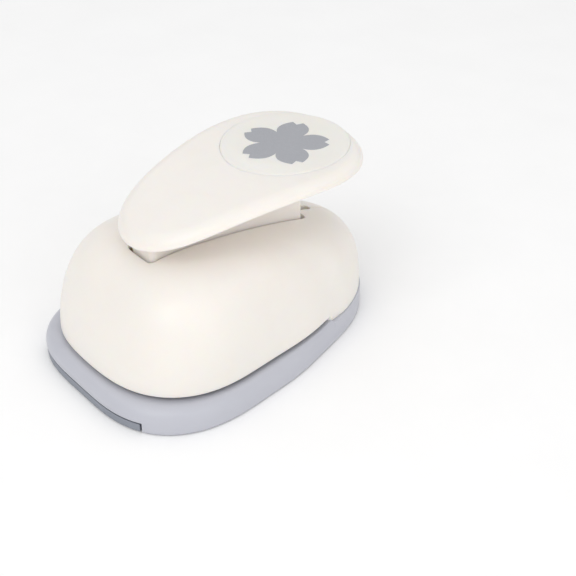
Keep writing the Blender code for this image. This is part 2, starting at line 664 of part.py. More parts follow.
upper = prism("upper_plate", rounded(-31, 31, PLATE_Y[0], PLATE_Y[1], 5), *PLATE_Z)
combine(upper, prism("aperture", offset([(x, y + PUNCH_Y) for x, y in flower()], 0.35), 10, 20))
for x in (-POST_X, POST_X):
    drill(upper, 2.3, 10, 20, x, PUNCH_Y, 14)
for x in (-24, 24):
    drill(upper, 1.8, 10, 20, x, 33, 10)
for x, y in BRACKET_SCREWS:
    drill(upper, 1.8, 14.9, 20, x, y, 10)
dress(upper, "steel")

die = prism("die_plate", rounded(-DIE_X, DIE_X, PUNCH_Y - DIE_Y, PUNCH_Y + DIE_Y, 1.5, 3), *DIE_Z)
combine(die, prism("aperture", offset([(x, y + PUNCH_Y) for x, y in flower()], 0.35), 5, 20))
for x, y in DIE_SCREWS:
    drill(die, 1.5, 5, 20, x, y, 10)
    drill(die, 2.5, 11.0, 20, x, y, 10)
dress(die, "tool_steel")
for i, (x, y) in enumerate(DIE_SCREWS):
    lathe("die_screw_%d" % (i + 1), [(0, 7.0), (1.1, 7.0), (1.1, 11.3), (2.1, 11.3), (2.1, 12.1), (0, 12.1)], "steel", 10, at=(x, y, 0))

spacer = block("rear_spacer", -31, 31, 27.0, 38.0, TABLE_Z + GAP, PLATE_Z[0] - GAP)
for x in (-24, 24):
    drill(spacer, 1.9, 10, 20, x, 33, 10)
dress(spacer, "steel")
for side, name in ((-1, "frame_screw_left"), (1, "frame_screw_right")):
    z = PLATE_Z[1] + GAP
    lathe(name, [(0, 6.0), (1.5, 6.0), (1.5, z), (3.2, z), (3.2, z + 1.4), (2.4, z + 2.2), (0, z + 2.2)], "steel", 10, at=(side * 24, 33, 0))

for side, name in ((-1, "guide_post_left"), (1, "guide_post_right")):
    lathe(name, [(0, 14.9), (2.0, 14.9), (2.0, 34.2), (3.4, 34.2), (3.4, 35.4), (2.6, 36.0), (0, 36.0)], "steel", 14, at=(side * POST_X, PUNCH_Y, 0))


def spring(name, x, y):
    """Coil spring: a round wire swept along a helix with closed end turns."""
    steps, sides = 11, 5
    total = int(SPRING_TURNS * steps)
    z0, z1 = SPRING_Z[0] + SPRING_WIRE, SPRING_Z[1] - SPRING_WIRE
    rise = []
    for k in range(total + 1):
        turn = k / steps
        # the first and last half turn lie almost flat
        flat = 0.55
        f = (turn - flat) / (SPRING_TURNS - 2 * flat)
        f = min(1.0, max(0.0, f))
        rise.append(z0 + (z1 - z0) * f)
    verts, faces = [], []
    for k in range(total + 1):
        a = 2 * math.pi * k / steps
        for j in range(sides):
            b = 2 * math.pi * (j + 0.5) / sides
            r = SPRING_R + SPRING_WIRE * math.cos(b)
            verts.append((x + r * math.cos(a), y + r * math.sin(a), rise[k] + SPRING_WIRE * math.sin(b)))
    for k in range(total):
        for j in range(sides):
            i = (j + 1) % sides
            faces.append((k * sides + j, k * sides + i, (k + 1) * sides + i, (k + 1) * sides + j))
    faces.append(tuple(range(sides)))
    faces.append(tuple(range(total * sides, (total + 1) * sides))[::-1])
    return make(name, verts, faces, "spring", 60)


spring("return_spring_left", -POST_X, PUNCH_Y)
spring("return_spring_right", POST_X, PUNCH_Y)

prism("down_stop", rounded(-9, 9, 21.5, 27.5, 1.5, 3), PLATE_Z[1] + GAP, 26.8, "rubber")

# ---------------------------------------------------------------- bottom cover, feet and screws
bottom = prism("bottom_cover", [base_point(t, WALL_BASE + 0.4) for t in TURN], 2.0, 4.0)
arc = [math.radians(180 - LIP_DEG + 2 * LIP_DEG * k / 16) for k in range(17)]
combine(bottom, prism("lip", [base_point(t, 0.25) for t in arc] + [base_point(t, 5.0) for t in arc][::-1], 2.3, LIP_Z[1]), "UNION")
combine(bottom, prism("lip", [base_point(t, 0.25) for t in arc] + [base_point(t, 2.0) for t in arc][::-1], LIP_Z[0], 3.0), "UNION")
combine(bottom, prism("window", rounded(-29, 29, PUNCH_Y - 25, PUNCH_Y + 25, 4), 0, 8))
for x, y in BOTTOM_SCREWS:
    drill(bottom, 1.9, 0, 8, x, y, 10)
FEET = [(-37.0, -46.0), (37.0, -46.0), (-29.0, 36.0), (29.0, 36.0)]
dress(bottom, "slate")
for i, (x, y) in enumerate(FEET):
    lathe("foot_%d" % (i + 1), [(0, 0), (5.2, 0), (6.0, 0.6), (6.0, 1.7), (0, 1.7)], "rubber", 16, at=(x, y, 0))
for i, (x, y) in enumerate(BOTTOM_SCREWS):
    lathe("bottom_screw_%d" % (i + 1), [(0, 0.5), (2.2, 0.5), (3.0, 0.9), (3.0, 1.7), (1.3, 1.7), (1.3, 8.0), (0, 8.0)], "steel", 10, at=(x, y, 0))
for side, name in ((-1, "dome_screw_left"), (1, "dome_screw_right")):
    z = TABLE_UNDER - GAP
    lathe(name, [(0, z - 2.2), (2.4, z - 2.2), (3.2, z - 1.4), (3.2, z), (1.5, z), (1.5, 24.4), (0, 24.4)], "steel", 10, at=(side * 26.0, 44.0, 0))

# ---------------------------------------------------------------- joint parents
LEVER_PARTS = ["lever_cover", "lever_frame", "disc_insert", "flower_emblem", "press_roller", "roller_pin", "stop_pin",
               "lever_screw_1", "lever_screw_2", "lever_screw_3", "lever_screw_4"]
HEAD_PARTS = ["flower_punch", "punch_carrier", "press_pad", "carrier_screw_1", "carrier_screw_2"]
for axis, at, names in (("lever_axis", (0, *PIVOT), LEVER_PARTS), ("head_axis", (0, PUNCH_Y, CARRIER_Z[0]), HEAD_PARTS)):
    empty = bpy.data.objects.new(axis, None)
    empty.location = Vector(at) * MM
    bpy.context.collection.objects.link(empty)
    bpy.context.view_layer.update()
    for name in names:
        ob = bpy.data.objects[name]
        ob.parent = empty
        ob.matrix_parent_inverse = empty.matrix_world.inverted()
bpy.context.view_layer.update()
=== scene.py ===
"""Looks of the lever-type craft punch: fine meshes for the moulded shells, the steel parts and the fasteners,
with procedural materials, a plain pale floor, soft studio light and one camera.

Lengths are millimetres until a mesh is made; +Z is up and X = 0 is the plane of symmetry."""

import math

import bpy
import bmesh
import numpy as np
from mathutils import Matrix, Vector


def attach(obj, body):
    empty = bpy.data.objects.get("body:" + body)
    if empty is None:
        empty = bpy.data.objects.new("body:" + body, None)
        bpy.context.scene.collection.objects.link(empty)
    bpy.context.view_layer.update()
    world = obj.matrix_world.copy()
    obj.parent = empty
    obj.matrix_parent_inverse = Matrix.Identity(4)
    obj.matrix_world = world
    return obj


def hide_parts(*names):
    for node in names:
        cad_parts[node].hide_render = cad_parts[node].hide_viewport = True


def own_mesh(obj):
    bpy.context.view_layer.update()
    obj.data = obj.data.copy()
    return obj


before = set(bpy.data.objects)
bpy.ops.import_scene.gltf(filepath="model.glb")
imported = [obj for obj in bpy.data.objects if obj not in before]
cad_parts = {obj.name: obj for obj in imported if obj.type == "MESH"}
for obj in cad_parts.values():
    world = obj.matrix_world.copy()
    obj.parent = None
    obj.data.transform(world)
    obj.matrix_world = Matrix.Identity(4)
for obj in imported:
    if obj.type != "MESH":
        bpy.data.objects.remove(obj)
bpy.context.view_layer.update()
MM = 0.001

# ---------------------------------------------------------------- camera
AZIMUTH, ELEVATION = 0.896075, 0.576651
TARGET = Vector((0.0, 0.03996, 0.00831))
DISTANCE = 0.62889
cam_data = bpy.data.cameras.new("camera")
cam_data.sensor_width = 36.0
cam_data.lens = 82.62
cam_data.clip_start, cam_data.clip_end = 0.01, 20.0
camera = bpy.data.objects.new("camera", cam_data)
bpy.context.scene.collection.objects.link(camera)
back = Vector((math.sin(AZIMUTH) * math.cos(ELEVATION), -math.cos(AZIMUTH) * math.cos(ELEVATION), math.sin(ELEVATION)))
camera.location = TARGET + back * DISTANCE
camera.rotation_mode = "QUATERNION"
camera.rotation_quaternion = (-back).to_track_quat("-Z", "Y")
bpy.context.scene.camera = camera
bpy.context.scene.view_settings.view_transform = "Standard"
bpy.context.scene.view_settings.look = "None"

# ---------------------------------------------------------------- dimensions (mm), as the CAD has them
BASE_COS = (63.87, -1.88, 11.78, 6.13, -0.35, 2.30)
BASE_Y0 = -6.55
DOME_COS = (58.24, -0.57, 9.41, 4.09, -1.08, 1.09)
DOME_Y0 = -8.15
REAR_INSET = 0.6
FLUSH_FROM, FLUSH_TO = 47.0, 33.0
NOTCH = 42.0
BASE_BOTTOM, TABLE_Z, TABLE_UNDER, SHOULDER_Z, REAR_TOP, WALL_BASE = 0.5, 12.4, 9.6, 5.6, 11.6, 2.6
DOME_EDGE_Z, DOME_REAR_Z, DOME_WALL = 14.5, 11.68, 2.4
DOME_Y_CENTRE = -19.7
CREST = (57.36, -0.1025, -1.133e-3, 1.614e-5, 3.30e-7)
SQUARE = (4.93, 0.70, -1.10)
LEVER_FRONT, LEVER_REAR = 84.6, 30.7
LEVER_DATUM = (38.83, 85.8)
LEVER_TILT = math.radians(1.43)
LEVER_WIDTH = (36.25, 11.0, 10.32, -3.54)
LEVER_DROOP = (1.91e-3, 0.5e-5)
LEVER_EDGE = (5.75, 4.0)
LEVER_SKIRT, LEVER_TOP, LEVER_WALL = 0.6, 2.2, 2.4
FLANGE = (2.5, 4.3)
DISC_R, DISC_Y, DISC_PROUD = 28.7, 38.2, 0.4
FLOWER_SHIFT = -0.7
FLOWER_TIP, FLOWER_NOTCH, FLOWER_ROOT, FLOWER_TIP_DEG, FLOWER_TURN = 20.4, 18.1, 10.6, 6.7, -3.5
WEB_HALF, WEB_WALL, WEB_FRONT, WEB_REAR, WEB_BOTTOM = 8.5, 2.9, -40.0, 40.9, 40.0
OPEN_HALF, OPEN_FRONT, OPEN_REAR, REAR_SLOT_END = 9.4, -41.1, 43.4, 52.5
PIVOT = (-33.0, 46.0)
PUNCH_Y = -4.0
ROLLER_Z, ROLLER_R = 44.0, 4.0
DIE_X, DIE_Y, DIE_Z = 31.0, 26.0, (9.4, 12.3)
PLATE_Z, PLATE_Y = (14.6, 17.4), (-46.0, 38.0)
PUNCH_Z, CARRIER_Z = (15.0, 27.8), (28.1, 31.1)
POST_X = 26.5
SPRING_R, SPRING_WIRE, SPRING_TURNS, SPRING_Z = 3.3, 0.45, 4.0, (17.75, 27.75)
GAP = 0.3
RECESS_DEG, RECESS_TOP = 32.0, 5.2
LIP_DEG, LIP_Z = 31.1, (0.7, 4.2)
STOP_Y, STOP_Z = 35.0, 45.2
BOTTOM_SCREWS = [(-40.0, -28.0), (40.0, -28.0), (-14.0, 56.0), (14.0, 56.0)]
DOME_SCREWS = [(-26.0, 44.0), (26.0, 44.0)]
DIE_SCREWS = [(sx * 28.0, PUNCH_Y + sy * 23.5) for sx in (-1, 1) for sy in (-1, 1)]
LEVER_SCREWS = [(-16.0, 26.0), (16.0, 26.0), (-13.0, 56.0), (13.0, 56.0)]
BRACKET_SCREWS = [(-7.0, -29.5), (7.0, -29.5), (0.0, -40.0)]
CARRIER_SCREWS = [(-9.0, PUNCH_Y), (9.0, PUNCH_Y)]
FEET = [(-37.0, -46.0), (37.0, -46.0), (-29.0, 36.0), (29.0, 36.0)]


# ---------------------------------------------------------------- materials
class Surface:
    """A Principled material with its nodes laid out from object coordinates."""

    def __init__(self, name, rough, metal=0.0, **constants):
        self.mat = bpy.data.materials.new(name)
        self.mat.use_nodes = True
        self.nt = self.mat.node_tree
        self.shader = self.nt.nodes["Principled BSDF"]
        self.set("Roughness", rough)
        self.set("Metallic", metal)
        for key, value in constants.items():
            self.set(key.replace("_", " "), value)
        self.where = self.nt.nodes.new("ShaderNodeTexCoord").outputs["Object"]

    def set(self, socket, value):
        self.shader.inputs[socket].default_value = value

    def link(self, a, b):
        self.nt.links.new(a, b)

    def stretch(self, scale):
        node = self.nt.nodes.new("ShaderNodeMapping")
        node.inputs["Scale"].default_value = scale
        self.link(self.where, node.inputs["Vector"])
        return node.outputs["Vector"]

    def noise(self, scale, detail=2.0, rough=0.5, vector=None, distort=0.0):
        node = self.nt.nodes.new("ShaderNodeTexNoise")
        node.inputs["Scale"].default_value = scale
        node.inputs["Detail"].default_value = detail
        node.inputs["Roughness"].default_value = rough
        node.inputs["Distortion"].default_value = distort
        self.link(vector or self.where, node.inputs["Vector"])
        return node.outputs["Fac"]

    def ramp(self, value, stops):
        node = self.nt.nodes.new("ShaderNodeValToRGB")
        ramp = node.color_ramp
        while len(ramp.elements) < len(stops):
            ramp.elements.new(0.5)
        for element, (at, rgb) in zip(ramp.elements, stops):
            element.position = at
            element.color = (*rgb, 1.0)
        self.link(value, node.inputs["Fac"])
        return node.outputs["Color"]

    def range(self, value, lo, hi, a=0.3, b=0.7):
        node = self.nt.nodes.new("ShaderNodeMapRange")
        node.inputs["From Min"].default_value = a
        node.inputs["From Max"].default_value = b
        node.inputs["To Min"].default_value = lo
        node.inputs["To Max"].default_value = hi
        self.link(value, node.inputs["Value"])
        return node.outputs["Result"]

    def mix(self, factor, a, b):
        node = self.nt.nodes.new("ShaderNodeMix")
        node.data_type = "RGBA"
        if isinstance(factor, (int, float)):
            node.inputs["Factor"].default_value = factor
        else:
            self.link(factor, node.inputs["Factor"])
        self.link(a, node.inputs["A"])
        self.link(b, node.inputs["B"])
        return node.outputs["Result"]

    def bump(self, value, strength, distance):
        node = self.nt.nodes.new("ShaderNodeBump")
        node.inputs["Strength"].default_value = strength
        node.inputs["Distance"].default_value = distance
        self.link(value, node.inputs["Height"])
        if self.shader.inputs["Normal"].links:
            self.link(self.shader.inputs["Normal"].links[0].from_socket, node.inputs["Normal"])
        self.link(node.outputs["Normal"], self.shader.inputs["Normal"])


def shaded(rgb, k):
    return tuple(min(1.0, c * k) for c in rgb)


def plastic(name, rgb, rough, grain=0.35, spread=0.02, warm=(1.0, 0.995, 0.985), **constants):
    """Moulded plastic: faint flow mottling, fine spark-eroded grain, and gloss that varies a little."""
    s = Surface(name, rough, **constants)
    flow = s.noise(38.0, 3.0, 0.55, distort=0.6)
    tone = s.ramp(flow, [(0.30, tuple(c * w * (1 - spread) for c, w in zip(rgb, warm))), (0.50, rgb), (0.72, shaded(rgb, 1 + spread * 0.6))])
    speck = s.noise(1900.0, 2.0, 0.5)
    fine = s.ramp(speck, [(0.36, shaded(rgb, 0.985)), (0.5, rgb), (0.64, shaded(rgb, 1.008))])
    s.link(s.mix(0.35, tone, fine), s.shader.inputs["Base Color"])
    s.link(s.range(s.noise(160.0, 3.0), rough - 0.035, rough + 0.045), s.shader.inputs["Roughness"])
    s.bump(s.noise(2600.0, 3.0, 0.6), grain, 0.00003)
    s.bump(s.noise(55.0, 1.0), 0.10, 0.0002)
    return s.mat


def steel(name, rgb, rough, along=(1.0, 30.0, 1.0), stain=0.06, scratch=0.25):
    """Ground or rolled steel: drawn-out grinding marks, cloudy tarnish and uneven gloss."""
    s = Surface(name, rough, 1.0)
    cloud = s.noise(90.0, 4.0, 0.6)
    marks = s.noise(420.0, 4.0, 0.65, s.stretch(along))
    tone = s.ramp(cloud, [(0.30, shaded(rgb, 1 - stain)), (0.55, rgb), (0.75, shaded(rgb, 1 + stain * 0.5))])
    line = s.ramp(marks, [(0.35, shaded(rgb, 0.90)), (0.62, shaded(rgb, 1.05))])
    s.link(s.mix(0.4, tone, line), s.shader.inputs["Base Color"])
    s.link(s.range(marks, rough - 0.06, rough + 0.10), s.shader.inputs["Roughness"])
    s.bump(marks, scratch, 0.00002)
    return s.mat


def cast(name, rgb, rough):
    """Die-cast zinc: pebbled skin with duller, darker hollows."""
    s = Surface(name, rough, 1.0)
    pits = s.noise(700.0, 4.0, 0.65)
    s.link(s.ramp(pits, [(0.32, shaded(rgb, 0.82)), (0.60, rgb)]), s.shader.inputs["Base Color"])
    s.link(s.range(pits, rough + 0.10, rough - 0.05), s.shader.inputs["Roughness"])
    s.bump(pits, 0.5, 0.00004)
    return s.mat


def rubbery(name, rgb):
    s = Surface(name, 0.8, 0.0, Specular_IOR_Level=0.35)
    dust = s.noise(240.0, 4.0, 0.6)
    s.link(s.ramp(dust, [(0.35, rgb), (0.70, shaded(rgb, 1.7))]), s.shader.inputs["Base Color"])
    s.link(s.range(dust, 0.72, 0.90), s.shader.inputs["Roughness"])
    s.bump(s.noise(1500.0, 3.0), 0.6, 0.00005)
    return s.mat


def printed(name, rgb):
    """Pad-printed ink: matt, with a faint screen of specks where the plastic shows through."""
    s = Surface(name, 0.5)
    speck = s.noise(3200.0, 2.0, 0.5)
    s.link(s.ramp(speck, [(0.32, shaded(rgb, 0.94)), (0.52, rgb), (0.74, shaded(rgb, 1.10))]), s.shader.inputs["Base Color"])
    s.link(s.range(s.noise(300.0, 2.0), 0.45, 0.58), s.shader.inputs["Roughness"])
    s.bump(speck, 0.15, 0.00002)
    return s.mat


# light soaks a few millimetres into the ivory plastic, which keeps its shadows warm
SOAK = {"Subsurface_Weight": 0.30, "Subsurface_Radius": (1.0, 0.62, 0.30), "Subsurface_Scale": 0.0035}
LOOK = {
    "dome_shell": plastic("ivory_dome", (0.886, 0.836, 0.786), 0.36, Specular_IOR_Level=0.42, Coat_Weight=0.08, Coat_Roughness=0.22, **SOAK),
    "lever_shell": plastic("ivory_lever", (0.900, 0.846, 0.800), 0.34, Specular_IOR_Level=0.42, Coat_Weight=0.08, Coat_Roughness=0.22, **SOAK),
    "lever_disc": plastic("ivory_disc", (0.895, 0.845, 0.782), 0.40, Specular_IOR_Level=0.4, **SOAK),
    "emblem_print": printed("grey_ink", (0.380, 0.388, 0.418)),
    "base_grey": plastic("lavender_grey", (0.520, 0.528, 0.582), 0.38, warm=(0.99, 0.99, 1.0), Specular_IOR_Level=0.42, Coat_Weight=0.06, Coat_Roughness=0.25),
    "cover_slate": plastic("slate", (0.262, 0.280, 0.322), 0.48, grain=0.5, warm=(0.98, 0.99, 1.0), spread=0.04, Specular_IOR_Level=0.4),
    "tool_steel": steel("tool_steel", (0.50, 0.50, 0.52), 0.24, along=(30.0, 1.0, 1.0)),
    "plate_steel": steel("plate_steel", (0.60, 0.60, 0.61), 0.32, along=(1.0, 24.0, 1.0)),
    "zinc": cast("die_cast_zinc", (0.66, 0.66, 0.68), 0.42),
    "spring_steel": steel("spring_steel", (0.56, 0.56, 0.58), 0.26, along=(4.0, 4.0, 1.0)),
    "nylon": plastic("natural_nylon", (0.80, 0.79, 0.74), 0.45, grain=0.25),
    "rubber": rubbery("black_rubber", (0.028, 0.028, 0.030)),
    "fastener_steel": steel("zinc_plated_steel", (0.64, 0.65, 0.67), 0.30, along=(1.0, 1.0, 18.0), stain=0.10),
}


# ---------------------------------------------------------------- mesh helpers
def make(name, verts, faces):
    me = bpy.data.meshes.new(name)
    me.from_pydata([tuple(float(c) * MM for c in v) for v in verts], [], [tuple(int(i) for i in f) for f in faces])
    bm = bmesh.new()
    bm.from_mesh(me)
    bmesh.ops.recalc_face_normals(bm, faces=bm.faces)
    bm.to_mesh(me)
    bm.free()
    me.update()
    ob = bpy.data.objects.new(name, me)
    bpy.context.collection.objects.link(ob)
    return ob


def shade(ob, degrees=35):
    ob.data.shade_smooth()
    ob.data.set_sharp_from_angle(angle=math.radians(degrees))


def evaluated(ob):
    bpy.context.view_layer.update()
    graph = bpy.context.evaluated_depsgraph_get()
    result = bpy.data.meshes.new_from_object(ob.evaluated_get(graph))
    ob.modifiers.clear()
    old = ob.data
    ob.data = result
    bpy.data.meshes.remove(old)
    return ob


def combine(ob, tool, kind="DIFFERENCE"):
    for solver in ("MANIFOLD", "EXACT"):
        mod = ob.modifiers.new(kind.lower(), "BOOLEAN")
        mod.operation = kind
        mod.solver = solver
        mod.object = tool
        before = len(ob.data.vertices)
        bpy.context.view_layer.update()
        graph = bpy.context.evaluated_depsgraph_get()
        result = bpy.data.meshes.new_from_object(ob.evaluated_get(graph))
        ob.modifiers.clear()
        if len(result.vertices) > 3 and (solver == "EXACT" or len(result.vertices) != before):
            break
        bpy.data.meshes.remove(result)
        result = None
    if result is not None:
        old = ob.data
        ob.data = result
        bpy.data.meshes.remove(old)
    bpy.data.objects.remove(tool, do_unlink=True)
    return ob


def bevelled(ob, width=0.25, segments=3, angle=40, sharp=40):
    """Small round edges all over a simple solid."""
    mod = ob.modifiers.new("edges", "BEVEL")
    mod.width = width * MM
    mod.segments = segments
    mod.limit_method = "ANGLE"
    mod.angle_limit = math.radians(angle)
    mod.use_clamp_overlap = True
    evaluated(ob)
    shade(ob, sharp)
    return ob


def turned(ob, axis, at):
    turn = {"Z": Matrix.Identity(4), "X": Matrix.Rotation(math.pi / 2, 4, "Y")}[axis]
    ob.data.transform(Matrix.Translation(Vector(at) * MM) @ turn)
    return ob


def rounded_profile(profile, r=0.2, steps=4):
    """The corners of an open (radius, height) line cut round, but for its two ends."""
    out = [profile[0]]
    for a, b, c in zip(profile, profile[1:], profile[2:]):
        a, b, c = Vector(a), Vector(b), Vector(c)
        la, lc = (a - b).length, (c - b).length
        d = min(r, la * 0.45, lc * 0.45)
        p, q = b + (a - b).normalized() * d, b + (c - b).normalized() * d
        for k in range(steps + 1):
            u = k / steps
            out.append(tuple(p * (1 - u) ** 2 + b * 2 * u * (1 - u) + q * u * u))
    out.append(profile[-1])
    return out


def lathe(name, profile, seg=64, axis="Z", at=(0, 0, 0), r=0.2, smooth=50):
    """A turned solid: profile is (radius, height) pairs from the bottom of the axis to its top."""
    closed = [(0.0, profile[0][1])] if profile[0][0] > 1e-6 else []
    closed += list(profile)
    if profile[-1][0] > 1e-6:
        closed.append((0.0, profile[-1][1]))
    line = rounded_profile(closed, r) if r else closed
    verts, rings = [], []
    for rad, h in line:
        if rad < 1e-6:
            rings.append([len(verts)])
            verts.append((0, 0, h))
        else:
            rings.append(list(range(len(verts), len(verts) + seg)))
            for i in range(seg):
                a = 2 * math.pi * (i + 0.5) / seg
                verts.append((rad * math.cos(a), rad * math.sin(a), h))
    faces = []
    for lo, hi in zip(rings, rings[1:]):
        for i in range(seg):
            j = (i + 1) % seg
            if len(lo) == 1:
                faces.append((lo[0], hi[j], hi[i]))
            elif len(hi) == 1:
                faces.append((lo[i], lo[j], hi[0]))
            else:
                faces.append((lo[i], lo[j], hi[j], hi[i]))
    ob = turned(make(name, verts, faces), axis, at)
    shade(ob, smooth)
    return ob


def tube(name, r0, r1, z0, z1, seg=64, axis="X", at=(0, 0, 0), round_by=0.2):
    """A ring with rounded rims."""
    c = round_by
    line = [(r0, z0 + c), (r0 + c * 0.3, z0 + c * 0.3), (r0 + c, z0), (r1 - c, z0), (r1 - c * 0.3, z0 + c * 0.3), (r1, z0 + c),
            (r1, z1 - c), (r1 - c * 0.3, z1 - c * 0.3), (r1 - c, z1), (r0 + c, z1), (r0 + c * 0.3, z1 - c * 0.3), (r0, z1 - c)]
    verts, faces = [], []
    for rad, z in line:
        for i in range(seg):
            a = 2 * math.pi * (i + 0.5) / seg
            verts.append((rad * math.cos(a), rad * math.sin(a), z))
    n = len(line)
    for k in range(n):
        for i in range(seg):
            j = (i + 1) % seg
            a, b = k * seg, ((k + 1) % n) * seg
            faces.append((a + i, a + j, b + j, b + i))
    ob = turned(make(name, verts, faces), axis, at)
    shade(ob, 50)
    return ob


def prism(name, outline, z0, z1):
    n = len(outline)
    verts = [(x, y, z0) for x, y in outline] + [(x, y, z1) for x, y in outline]
    faces = [(i, (i + 1) % n, n + (i + 1) % n, n + i) for i in range(n)]
    faces += [tuple(reversed(range(n))), tuple(range(n, 2 * n))]
    return make(name, verts, faces)


def pierced(name, outline, holes, z0, z1):
    """A flat plate with through holes, its faces filled with small triangles."""
    bm = bmesh.new()
    for loop in [outline] + holes:
        vs = [bm.verts.new((x, y, 0.0)) for x, y in loop]
        for a, b in zip(vs, vs[1:] + vs[:1]):
            bm.edges.new((a, b))
    bmesh.ops.triangle_fill(bm, use_beauty=True, use_dissolve=False, edges=bm.edges[:], normal=(0, 0, 1))
    bm.verts.index_update()
    flat = [(v.co.x, v.co.y) for v in bm.verts]
    n = len(flat)
    faces = []
    for f in bm.faces:
        ids = [v.index for v in f.verts]
        ids = ids if f.normal.z > 0 else ids[::-1]
        faces += [tuple(n + i for i in ids), tuple(ids[::-1])]
    for e in bm.edges:
        if len(e.link_faces) == 1:
            a, b = (v.index for v in e.verts)
            faces.append((a, b, n + b, n + a))
    bm.free()
    return make(name, [(x, y, z0) for x, y in flat] + [(x, y, z1) for x, y in flat], faces)


def circle(x, y, r, seg=40):
    return [(x + r * math.cos(2 * math.pi * (k + 0.5) / seg), y + r * math.sin(2 * math.pi * (k + 0.5) / seg)) for k in range(seg)]


def block(name, x0, x1, y0, y1, z0, z1):
    return prism(name, [(x0, y0), (x1, y0), (x1, y1), (x0, y1)], z0, z1)


def rounded(x0, x1, y0, y1, r, steps=12):
    pts = []
    for cx, cy, a0 in ((x1 - r, y0 + r, -90), (x1 - r, y1 - r, 0), (x0 + r, y1 - r, 90), (x0 + r, y0 + r, 180)):
        for k in range(steps + 1):
            a = math.radians(a0 + 90 * k / steps)
            pts.append((cx + r * math.cos(a), cy + r * math.sin(a)))
    return pts


def drill(ob, r, z0, z1, x, y, seg=40, axis="Z"):
    at = (x, y, 0) if axis == "Z" else (0, x, y)
    return combine(ob, lathe("drill", [(r, z0), (r, z1)], seg=seg, axis=axis, at=at, r=0))


def offset(outline, d):
    n = len(outline)
    area = sum(outline[i][0] * outline[(i + 1) % n][1] - outline[(i + 1) % n][0] * outline[i][1] for i in range(n))
    side = 1 if area > 0 else -1
    out = []
    for i in range(n):
        a, b, c = (Vector(outline[(i + k) % n]) for k in (-1, 0, 1))
        u, v = (b - a).normalized(), (c - b).normalized()
        nu, nv = Vector((u.y, -u.x)) * side, Vector((v.y, -v.x)) * side
        m = (nu + nv).normalized()
        out.append(tuple(b + m * (d / max(0.5, m.dot(nu)))))
    return out


def ring_faces(a, b, n):
    return [(a + i, a + (i + 1) % n, b + (i + 1) % n, b + i) for i in range(n)]


def cross(ob, x, y, z, down, size=1.35, depth=0.9):
    """A cross recess in a screw's head; down says that the head faces down."""
    for wide, deep in ((size, 0.32), (0.32, size)):
        z0, z1 = (z - 1.0, z + depth) if down else (z - depth, z + 1.0)
        combine(ob, block("recess", x - wide, x + wide, y - deep, y + deep, z0, z1))
    return ob


MADE = {}


def piece(ob, node, body, slot, *more):
    """The fine piece ob stands for one CAD node, rides on its body and takes its finish."""
    bm = bmesh.new()
    bm.from_mesh(ob.data)
    bmesh.ops.triangulate(bm, faces=[f for f in bm.faces if len(f.verts) > 4])
    bm.to_mesh(ob.data)
    bm.free()
    ob.name = ob.data.name = node + "_fine"
    ob.data.materials.clear()
    ob.data.materials.append(LOOK[slot])
    for extra in more:
        ob.data.materials.append(LOOK[extra])
    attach(ob, body)
    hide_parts(node)
    MADE[node] = ob
    return ob


# ---------------------------------------------------------------- body outlines
def cosines(c, t):
    return sum(ck * np.cos(k * t) for k, ck in enumerate(c))


def base_point(t, inset=0.0):
    r = cosines(BASE_COS, t) - inset
    return r * np.sin(t), BASE_Y0 + r * np.cos(t)


def flare(t):
    w = np.clip((FLUSH_FROM - np.degrees(np.abs(t))) / (FLUSH_FROM - FLUSH_TO), 0.0, 1.0)
    return w * w * (3 - 2 * w)


def dome_point(t, inset=0.0):
    r = cosines(DOME_COS, t) - inset
    x, y = r * np.sin(t), DOME_Y0 + r * np.cos(t)
    bx, by = base_point(t, REAR_INSET + inset)
    w = flare(t)
    return x + (bx - x) * w, y + (by - y) * w


def crown(y):
    return sum(c * y**k for k, c in enumerate(CREST))


def body_turns(count):
    a = [-180 + 360 * i / count for i in range(count)]
    a = [v for v in a if abs(abs(v) - NOTCH) > 0.75]
    for side in (-1, 1):
        a += [side * (NOTCH + d) for d in (-0.5, -0.3, -0.1, 0.1, 0.3, 0.5)]
    return np.radians(sorted(a))


def step_up(t):
    """0 along the paper slot, 1 at the closed rear seam, with a short ramp between."""
    w = np.clip((NOTCH + 0.1 - np.degrees(np.abs(t))) / 0.2, 0.0, 1.0)
    return w * w * (3 - 2 * w)


